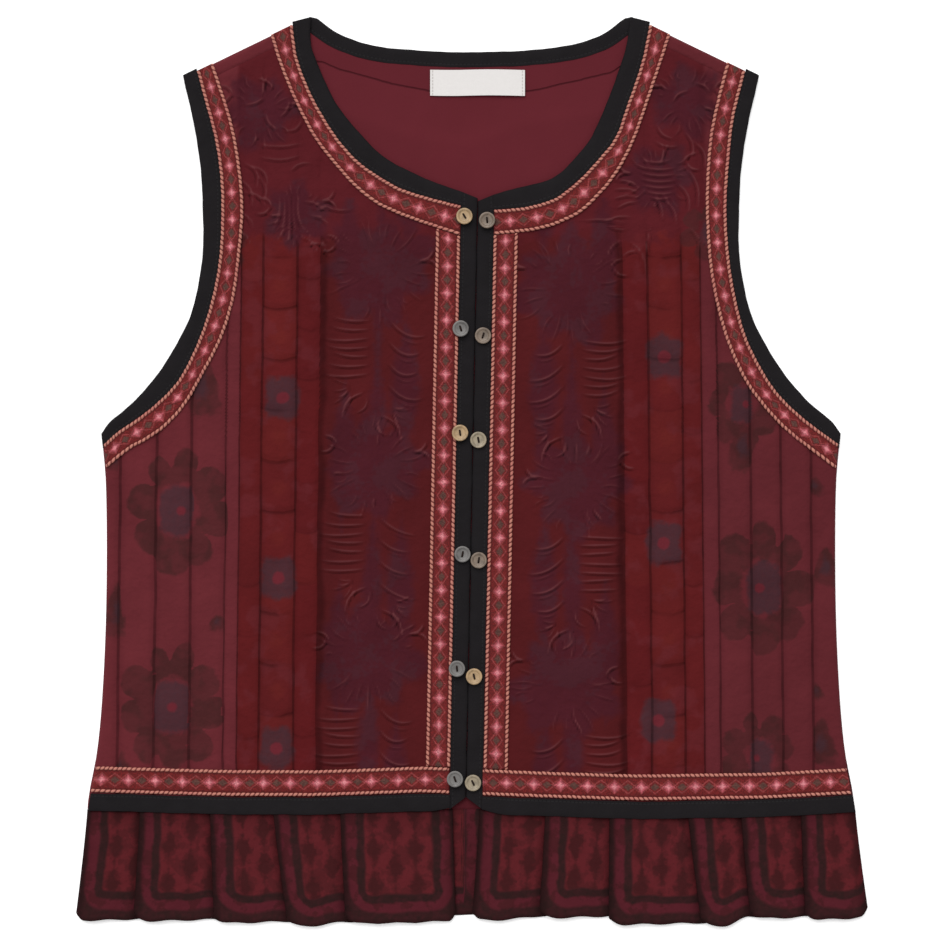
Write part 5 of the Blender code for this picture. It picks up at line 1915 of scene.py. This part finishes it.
@dataclass
class Back:
    """The back panel with its lining showing in the neck, its tapes and its label."""

    finishes: Finishes
    step: float = 0.0036
    seam_knots: tuple = ((-0.0960, 0.2660), (-0.0850, 0.2610), (-0.0560, 0.2530),
                         (-0.0266, 0.2467), (0.0, 0.2452), (0.0377, 0.2470), (0.0620, 0.2520),
                         (0.0910, 0.2590), (0.0990, 0.2640))

    def outline(self) -> Line:
        """The back panel's outline."""
        half = HalfEdges(Side.RIGHT)
        neck = self.neck_line()
        side = offset(half.flank, 0.0032)
        arm = offset(half.arm, WIDTHS.arm_band + LAYERS.gap)
        hem_y = FRONT_HEM_Y + WIDTHS.hem_band + LAYERS.gap
        hem = np.array([(-0.24, hem_y), (0.0, hem_y), (0.24, hem_y)])
        seam = offset(half.seam, LAYERS.gap)
        lines = [hem, side, arm, seam, offset(neck, WIDTHS.neck_band + LAYERS.gap),
                 *(line[::-1] * FLIP for line in (seam, arm, side))]
        rim = np.vstack([line[:-1] for line in cut_round(lines)])
        return even_steps(closed(rim), 0.003)[:-1]

    def neck_line(self) -> Line:
        """The back neck edge from the right to the left."""
        neck = smooth_line(BACK_NECK_ROWS)
        return np.vstack([neck[:0:-1], neck * FLIP])

    def build(self) -> list[bpy.types.Object]:
        """Make and dress the back's pieces."""
        rim = self.outline()
        inner = lattice(rim, self.step, 0.0022)
        place, fill = filled(rim, inner)
        edge = ease(nearest(place, closed(rim))[0] / 0.02)
        knots = np.array(self.seam_knots)
        line = np.interp(place[:, 0], knots[:, 0], knots[:, 1])
        facing = place[:, 1] - line
        slack = 0.00045 * ripple(place, 2.4, 0.085) + 0.00018 * ripple(place, 5.2, 0.030)
        crease = 0.0004 * np.exp(-((place[:, 1] - 0.212 - 0.25 * np.abs(place[:, 0])
                                    - 0.004 * np.sin(place[:, 0] * 40)) / 0.004) ** 2)
        top = LAYERS.back_wall + (slack + crease) * edge - 0.0002 * edge
        above = np.column_stack([place, top])
        below = np.column_stack([place, np.zeros(len(place))])
        count = len(place)
        faces = [tuple(face) for face in fill]
        slots = [0] * len(faces)
        faces += [tuple(count + i for i in reversed(face)) for face in fill]
        faces += [(count + i, count + (i + 1) % len(rim), (i + 1) % len(rim), i)
                  for i in range(len(rim))]
        slots += [1] * (len(faces) - len(slots))
        half = np.column_stack([np.abs(place[:, 0]), place[:, 1]])
        values = print_fields(half, Side.RIGHT, False)
        values = {key: np.concatenate([value, value]) for key, value in values.items()}
        values["relief"] = np.zeros(2 * count)
        values["facing"] = np.concatenate([facing, facing])
        cloth = Cloth(np.vstack([above, below]), faces, values, slots)
        panel = cloth.piece("back_cloth", [self.finishes.lining, self.finishes.cotton], 60.0)
        dress(panel, "lining", "back_panel")
        pieces = [self.tape(tape) for tape in self.tapes(rim)]
        label = self.label()
        polygon_area(rim)
        return [panel, *pieces, label]

    def tapes(self, rim: Line) -> list[Tape]:
        """The tapes that bind the back's neck, armholes and hem."""
        w = WIDTHS
        half = HalfEdges(Side.RIGHT)
        line = self.neck_line()
        tuck = np.array((0.0040, 0.0005))
        line = np.vstack([line[0] + tuck, line, line[-1] + tuck * (-1, 1)])
        drop = np.array((-0.0010, -w.neck_band))
        neck = Run.along(line, w.neck_band, {0: drop, -1: drop * (-1, 1)})
        made = [Tape("neck_tape_back", "neck_band_back", neck, 0.0, LAYERS.back_band)]
        for side in Side:
            arm = Run.facing(half.arm, between(offset(half.arm, w.arm_band), half.flank,
                                               half.shoulder))
            arm.far[0] = half.arm[0] + ARM_TAPE_END
            flip = np.array((side.value, 1.0))
            arm = Run(arm.near * flip, arm.far * flip)
            made.append(Tape("arm_tape_back_" + side.label, "arm_band_back_" + side.label, arm,
                             0.0, LAYERS.back_band))
        reach = rim[rim[:, 1] < rim[:, 1].min() + 0.001, 0].max()
        hem = Run.along(even_steps(np.array([(-reach, FRONT_HEM_Y), (reach, FRONT_HEM_Y)]), 0.05),
                        w.hem_band)
        made.append(Tape("hem_tape_back", "hem_band_back", hem, 0.0, LAYERS.back_wall))
        return made

    def tape(self, tape: Tape) -> bpy.types.Object:
        """Make and dress one tape."""
        cloth = tape.build()
        if tape.name == "hem_tape_back":
            around = len(TAPE_SECTION)
            quads = len(cloth.faces) - 2
            cloth.slots = [int(i % around > 9) for i in range(quads)] + [0, 0]
        if tape.run.near[0, 0] < 0 and tape.name.startswith("arm"):
            cloth.faces = [tuple(face)[::-1] for face in cloth.faces]
        f = self.finishes
        made = cloth.piece(tape.name, [f.binding, f.lining] if cloth.slots else [f.binding], 50.0)
        return dress(made, "black_binding", tape.replaces)

    def label(self) -> bpy.types.Object:
        """The blank neck label, slightly bowed, with its ends stitched down."""
        xs = np.linspace(-0.0265, 0.0350, 42)
        ys = np.linspace(0.2440, 0.2608, 13)
        gx, gy = np.meshgrid(xs, ys)
        flat = np.column_stack([gx.reshape(-1), gy.reshape(-1)])
        ends = np.minimum(flat[:, 0] - xs[0], xs[-1] - flat[:, 0])
        bow = 0.0004 * ease(ends / 0.012) + 0.00012 * wander(flat[:, 0], 1.0, 0.03)
        top = np.column_stack([flat, 0.0029 + bow * ease(ends / 0.004)])
        top[:, 1] += 0.0002 * np.sin(flat[:, 0] * 120)
        top = top.reshape(len(ys), len(xs), 3)
        made = shell(top, top - np.array((0.0, 0.0, 0.0006)),
                     {"across": ends, "along": flat[:, 1]}).piece(
            "neck_label", [self.finishes.label], 50.0)
        return dress(made, "label_tape", "label")


# The ruffle

@dataclass(frozen=True)
class Pleat:
    """A knife pleat: its fold edge at the seam and at the hem, and how low it hangs."""

    top_x: float
    hem_x: float
    hem_y: float


RUFFLES = {
    Side.LEFT: (Pleat(-0.2488, -0.2560, -0.2915), Pleat(-0.2145, -0.2184, -0.2917),
                Pleat(-0.1690, -0.1664, -0.2930), Pleat(-0.1280, -0.1190, -0.2950),
                Pleat(-0.0845, -0.0812, -0.2932), Pleat(-0.0120, -0.0100, -0.2925)),
    Side.RIGHT: (Pleat(0.0058, 0.0013, -0.2912), Pleat(0.0487, 0.0449, -0.2896),
                 Pleat(0.0903, 0.0897, -0.2940), Pleat(0.1410, 0.1495, -0.2950),
                 Pleat(0.1755, 0.1813, -0.2900), Pleat(0.2145, 0.2171, -0.2908),
                 Pleat(0.2494, 0.2574, -0.2900)),
}


@dataclass
class Ruffle:
    """A knife pleated ruffle as one folded cloth."""

    side: Side
    material: bpy.types.Material
    wall: float = 0.0009
    gap: float = 0.00025
    opening: float = 0.0006
    depth: float = 0.0085
    corner: float = 0.0048
    base: float = 0.0018
    rows: int = 26
    smooth: int = 4

    def path(self, share: float) -> tuple[np.ndarray, np.ndarray, np.ndarray]:
        """The folded cloth at one level.

        Args:
            share: The level, from 0 at the seam to 1 at the hem.

        Returns:
            Places across and up, how near each is to a fold edge, and the pleat it is on.
        """
        pleats = RUFFLES[self.side]
        layer = 0.0010 + self.gap + self.opening * share
        edges = [p.top_x + (p.hem_x - p.top_x) * (share ** 1.15) for p in pleats]
        top = self.base + 2 * layer
        made = [(edges[0], self.base + 0.3 * layer, 1.0, 0),
                (edges[0] + 0.0012, self.base + 1.1 * layer, 0.8, 0),
                (edges[0] + 0.0045, self.base + 1.7 * layer, 0.3, 0)]
        for i in range(1, len(edges) - 1):
            edge = edges[i]
            start = made[-1][0]
            if i > 1:
                start = edges[i - 1] + self.depth + 0.0020
                made.append((start, top, 0.0, i - 1))
            for part, high in ((0.3, 1.75), (0.6, 1.0), (0.85, 0.3)):
                made.append((start + (edge - start) * part, self.base + high * layer, 0.0, i - 1))
            made += [(edge - 0.0010, self.base, 0.0, i - 1),
                     (edge + self.depth, self.base, 0.0, i - 1),
                     (edge + self.depth + layer / 2, self.base + layer / 2, 0.0, i - 1),
                     (edge + self.depth, self.base + layer, 0.0, i),
                     (edge + layer / 2, self.base + layer, 0.8, i),
                     (edge, self.base + 1.5 * layer, 1.0, i),
                     (edge + layer / 2, top, 0.8, i)]
        last = len(edges) - 2
        made += [(edges[-2] + self.depth + 0.0020, top, 0.0, last),
                 (edges[-1] - 0.0150, self.base + 1.6 * layer, 0.0, last),
                 (edges[-1] - 0.0040, self.base + 0.9 * layer, 0.3, last),
                 (edges[-1], self.base + 0.3 * layer, 1.1, last)]
        knots = np.array(made)
        at = np.arange(len(knots), dtype=float)
        wanted = np.linspace(0, len(knots) - 1, (len(knots) - 1) * self.smooth + 1)
        linear = np.stack([np.interp(wanted, at, knots[:, k]) for k in range(4)], 1)
        curved = curve_through(knots[:, :2], at, wanted)
        places = 0.45 * curved + 0.55 * linear[:, :2]
        return places, linear[:, 2], linear[:, 3]

    def build(self) -> bpy.types.Object:
        """Make and dress the ruffle."""
        pleats = RUFFLES[self.side]
        grids: dict[str, list] = {"top": [], "low": [], "edge": [], "hem": [], "shade": []}
        flat_width = 0.0
        for share in np.linspace(0.0, 1.0, self.rows):
            places, near_edge, pleat = self.path(share)
            way = np.gradient(places, axis=0)
            way /= np.linalg.norm(way, axis=1)[:, None] + 1e-12
            normal = np.stack([-way[:, 1], way[:, 0]], 1)
            x, z = places[:, 0], places[:, 1]
            number = np.clip(np.round(pleat).astype(int), 0, len(pleats) - 2)
            lefts = np.array([p.top_x + (p.hem_x - p.top_x) * (share ** 1.15) for p in pleats])
            hems = np.array([p.hem_y for p in pleats])
            wide = lefts[number + 1] - lefts[number]
            part = np.clip((x - lefts[number]) / wide, 0, 1)
            climb = np.maximum(hems[number + 1] - hems[number], 0.0)
            hem = hems[number] + climb * ease((part - 0.45) / 0.55) + self.corner * near_edge ** 2
            hem += 0.0008 * part
            hem += 0.0005 * np.sin(x * 260.0 + 2.0 * number)
            y = RUFFLE_TOP_Y + (hem - RUFFLE_TOP_Y) * share
            slack = 0.0003 * share * np.sin(x * 170.0 + 4.0 * share)
            slack = slack * ease(part * 6) * ease((1 - part) * 3) * (z > self.base + 0.0006)
            for key, way_out in (("top", 1), ("low", -1)):
                moved = places + way_out * self.wall / 2 * normal
                grids[key].append(np.column_stack([
                    moved[:, 0], y, np.maximum(moved[:, 1] + slack, 0.0011)]))
            grids["edge"].append((x - lefts[number]) / MM)
            grids["hem"].append((y - hem) / MM)
            grids["shade"].append(0.55 + 0.45 * ease(part * wide / 0.006)
                                  * ease((1 - part) * wide / 0.008 + 0.15)
                                  * ease(share * 3.2 + 0.25))
            flat_width = max(flat_width, walked(places)[-1])
        values = {name: np.array(grids[key])[::-1]
                  for name, key in (("from_edge", "edge"), ("from_hem", "hem"),
                                    ("shade", "shade"))}
        label = self.side.label
        made = shell(np.array(grids["top"])[::-1], np.array(grids["low"])[::-1],
                     values).piece("ruffle_cloth_" + label, [self.material])
        dress(made, "printed_ruffle", "ruffle_" + label)
        return made


@dataclass
class BackRuffle:
    """The back's ruffle, pressed flat under the fronts'."""

    material: bpy.types.Material
    hem_y: float = -0.2885
    hem_x: float = 0.2528
    top: float = 0.0010

    def build(self) -> bpy.types.Object:
        """Make and dress the ruffle."""
        top_x = HalfEdges(Side.RIGHT).flank[0, 0] - 0.0045
        xs = np.linspace(-1.0, 1.0, 190)
        ys = np.linspace(0.0, 1.0, 22)
        sx, sy = np.meshgrid(xs, ys)
        x = sx * (top_x + (self.hem_x - top_x) * sy)
        hem = self.hem_y + 0.0006 * (1 + np.sin(x * 90.0))
        y = RUFFLE_TOP_Y + (hem - RUFFLE_TOP_Y) * sy
        fold = 0.00012 * np.sin(x * 140.0)
        y += 0.0009 * (1.0 - sy)
        high = np.dstack([x, y, self.top - 0.00015 + fold])[::-1]
        low = np.dstack([x, y, np.zeros_like(x)])[::-1]
        pleat = 0.042
        values = {"from_edge": (x[::-1] + 0.3) % pleat / MM, "from_hem": (y - hem)[::-1] / MM,
                  "shade": np.full(x.shape, 0.9)}
        made = shell(high, low, values).piece("ruffle_cloth_back", [self.material])
        dress(made, "printed_ruffle", "ruffle_back")
        return made


# The buttons

@dataclass(frozen=True)
class SewnButton:
    """One button: its place, its turn and its tone."""

    side: Side
    number: int
    x: float
    y: float
    turn: float
    tone: Horn


BUTTONS = (
    SewnButton(Side.LEFT, 1, -0.0043, 0.1654, 0.55, Horn.TAN),
    SewnButton(Side.LEFT, 2, -0.0067, 0.0926, 0.30, Horn.GREY),
    SewnButton(Side.LEFT, 3, -0.0071, 0.0250, 0.15, Horn.TAN),
    SewnButton(Side.LEFT, 4, -0.0055, -0.0536, -0.20, Horn.GREY),
    SewnButton(Side.LEFT, 5, -0.0091, -0.1277, 0.10, Horn.GREY),
    SewnButton(Side.LEFT, 6, -0.0104, -0.1992, 0.35, Horn.GREY),
    SewnButton(Side.RIGHT, 1, 0.0104, 0.1628, 0.10, Horn.BROWN),
    SewnButton(Side.RIGHT, 2, 0.0078, 0.0881, -0.30, Horn.BROWN),
    SewnButton(Side.RIGHT, 3, 0.0048, 0.0205, 0.20, Horn.BEIGE),
    SewnButton(Side.RIGHT, 4, 0.0050, -0.0575, -0.15, Horn.BROWN),
    SewnButton(Side.RIGHT, 5, 0.0020, -0.1329, 0.25, Horn.TAN),
    SewnButton(Side.RIGHT, 6, 0.0013, -0.2018, 0.45, Horn.BEIGE),
)


@dataclass
class ButtonShop:
    """Turns the horn button once, sews thread through it and places its copies."""

    finishes: Finishes
    radius: float = 0.0053
    height: float = 0.0022
    hole: float = 0.00062
    hole_out: float = 0.00150
    sides: int = 40

    def build(self) -> list[bpy.types.Object]:
        """Make and dress the twelve buttons."""
        model, thread = self.turned(), self.thread()
        pieces = []
        for row in BUTTONS:
            name = "%s_%d" % (row.side.label, row.number)
            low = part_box("button_" + name)[0].z
            place = Matrix.Translation((row.x, row.y, low)) @ Matrix.Rotation(row.turn, 4, "Z")
            made = self.placed(model, "sewn_button_" + name, place)
            made.data.materials.clear()
            made.data.materials.append(self.finishes.horn[row.tone])
            dress(made, "button", "button_" + name)
            strand = self.placed(thread, "button_thread_" + name, place)
            pieces += [made, dress(strand, "black_binding")]
        for model_piece in (model, thread):
            bpy.data.objects.remove(model_piece)
        return pieces

    def placed(self, model: bpy.types.Object, name: str, place: Matrix) -> bpy.types.Object:
        """A copy of a model at its place."""
        made = model.copy()
        made.data = model.data.copy()
        made.name = name
        made.data.transform(place)
        return link(made)

    def turned(self) -> bpy.types.Object:
        """The button: a disc with a rounded rim, a dished middle and two holes."""
        bpy.ops.object.select_all(action="DESELECT")
        bpy.ops.mesh.primitive_cylinder_add(vertices=self.sides, radius=self.radius,
                                            depth=self.height,
                                            location=(0, 0, self.height / 2))
        button = bpy.context.active_object
        bpy.ops.object.transform_apply(location=True, rotation=False, scale=False)
        bpy.ops.object.mode_set(mode="EDIT")
        self.select_faces(button, 0.99)
        bpy.ops.mesh.inset(thickness=self.radius * 0.24)
        bpy.ops.mesh.inset(thickness=self.radius * 0.12)
        bpy.ops.transform.translate(value=(0, 0, -0.0007))
        bpy.ops.object.mode_set(mode="OBJECT")
        bevel = button.modifiers.new("rim", "BEVEL")
        bevel.width = 0.0007
        bevel.segments = 3
        bevel.limit_method = "ANGLE"
        bevel.angle_limit = math.radians(35)
        bpy.ops.object.modifier_apply(modifier=bevel.name)
        for way in (-1, 1):
            self.drill(button, way * self.hole_out)
        bpy.context.view_layer.objects.active = button
        button.select_set(True)
        bpy.ops.object.shade_smooth_by_angle(angle=math.radians(40))
        return button

    def select_faces(self, piece: bpy.types.Object, up: float) -> None:
        """Select the faces that look up, in edit mode."""
        bpy.ops.mesh.select_all(action="DESELECT")
        bpy.ops.object.mode_set(mode="OBJECT")
        for face in piece.data.polygons:
            face.select = face.normal.z > up
        bpy.ops.object.mode_set(mode="EDIT")
        bpy.ops.mesh.select_mode(type="FACE")

    def drill(self, button: bpy.types.Object, y: float) -> None:
        """Cut one sewing hole."""
        bpy.ops.object.select_all(action="DESELECT")
        bpy.ops.mesh.primitive_cylinder_add(vertices=14, radius=self.hole, depth=0.01,
                                            location=(0, y, 0))
        bit = bpy.context.active_object
        cut = button.modifiers.new("hole", "BOOLEAN")
        cut.operation = "DIFFERENCE"
        cut.object = bit
        bpy.context.view_layer.objects.active = button
        bpy.ops.object.modifier_apply(modifier=cut.name)
        bpy.data.objects.remove(bit)

    def thread(self) -> bpy.types.Object:
        """The sewing thread, which lies across the dish and goes down both holes."""
        dish = self.height - 0.0007
        angles = np.linspace(0.0, 2 * math.pi, 8, endpoint=False)
        rows = []
        for x in (-0.00018, 0.00022):
            ys = np.array((-self.hole_out - 0.0001, -self.hole_out, -self.hole_out + 0.0004, 0.0,
                           self.hole_out - 0.0004, self.hole_out, self.hole_out + 0.0001))
            zs = np.array((-0.0008, -0.0001, 0.00028, 0.00045, 0.00028, -0.0001, -0.0008)) + dish
            line = np.column_stack([np.full(7, x), ys, zs])
            way = np.gradient(line, axis=0)
            way /= np.linalg.norm(way, axis=1)[:, None]
            side = np.tile((1.0, 0.0, 0.0), (7, 1))
            up = np.cross(side, way)
            ring = 0.00042 * (np.cos(angles)[None, :, None] * side[:, None]
                              + np.sin(angles)[None, :, None] * up[:, None])
            rows.append(line[:, None] + ring)
        cloth = tube(rows[0]).joined(tube(rows[1]))
        return cloth.piece("button_thread", [self.finishes.thread])


# The studio

@dataclass(frozen=True)
class Studio:
    """A pale floor, one soft light and the camera straight above."""

    frame_width: float = 0.6136
    height: float = 2.2
    middle: tuple[float, float] = (0.00065, -0.00033)
    ambient: float = 0.60

    def build(self) -> None:
        """Make the floor, the light and the camera."""
        bpy.ops.object.select_all(action="DESELECT")
        bpy.ops.mesh.primitive_plane_add(size=9.0, location=(0, 0, -0.0001))
        floor = bpy.context.active_object
        floor.name = "studio_floor"
        floor.data.materials.append(PaleFloor().material())
        self.lamp("key_light", (-0.35, 1.20, 1.80), 2.55, 50.0)
        world = bpy.data.worlds.new("studio")
        world.use_nodes = True
        world.node_tree.nodes["Background"].inputs[0].default_value = (1.0, 1.0, 1.0, 1.0)
        world.node_tree.nodes["Background"].inputs[1].default_value = self.ambient
        bpy.context.scene.world = world
        bpy.context.scene.view_settings.view_transform = "Standard"
        camera = bpy.data.cameras.new("camera")
        camera.sensor_width = 36.0
        camera.lens = camera.sensor_width * self.height / self.frame_width
        camera.clip_start, camera.clip_end = 0.05, 20.0
        seat = bpy.data.objects.new("camera", camera)
        seat.location = (*self.middle, self.height)
        bpy.context.scene.camera = link(seat)

    def lamp(self, name: str, place: tuple[float, float, float], strength: float,
             spread: float) -> None:
        """A wide, soft and distant light from one side of the vest.

        Args:
            name: The lamp's name.
            place: The side that it shines from.
            strength: How strong it is.
            spread: How wide it looks from the vest, in degrees.
        """
        data = bpy.data.lights.new(name, "SUN")
        data.energy = strength
        data.angle = math.radians(spread)
        lamp = bpy.data.objects.new(name, data)
        lamp.location = place
        lamp.rotation_mode = "QUATERNION"
        lamp.rotation_quaternion = (-Vector(place)).to_track_quat("-Z", "Y")
        link(lamp)


def main() -> None:
    """Build every piece in order, then the studio."""
    logging.basicConfig(level=logging.INFO, format="%(name)s %(message)s")
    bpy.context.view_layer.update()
    finishes = Finishes.made()
    back = Back(finishes).build()
    for side in Side:
        Front(side, finishes).build(back[0])
    BackRuffle(finishes.ruffle).build()
    for side in Side:
        Ruffle(side, finishes.ruffle).build()
    ButtonShop(finishes).build()
    Studio().build()


if __name__ == "__main__":
    main()
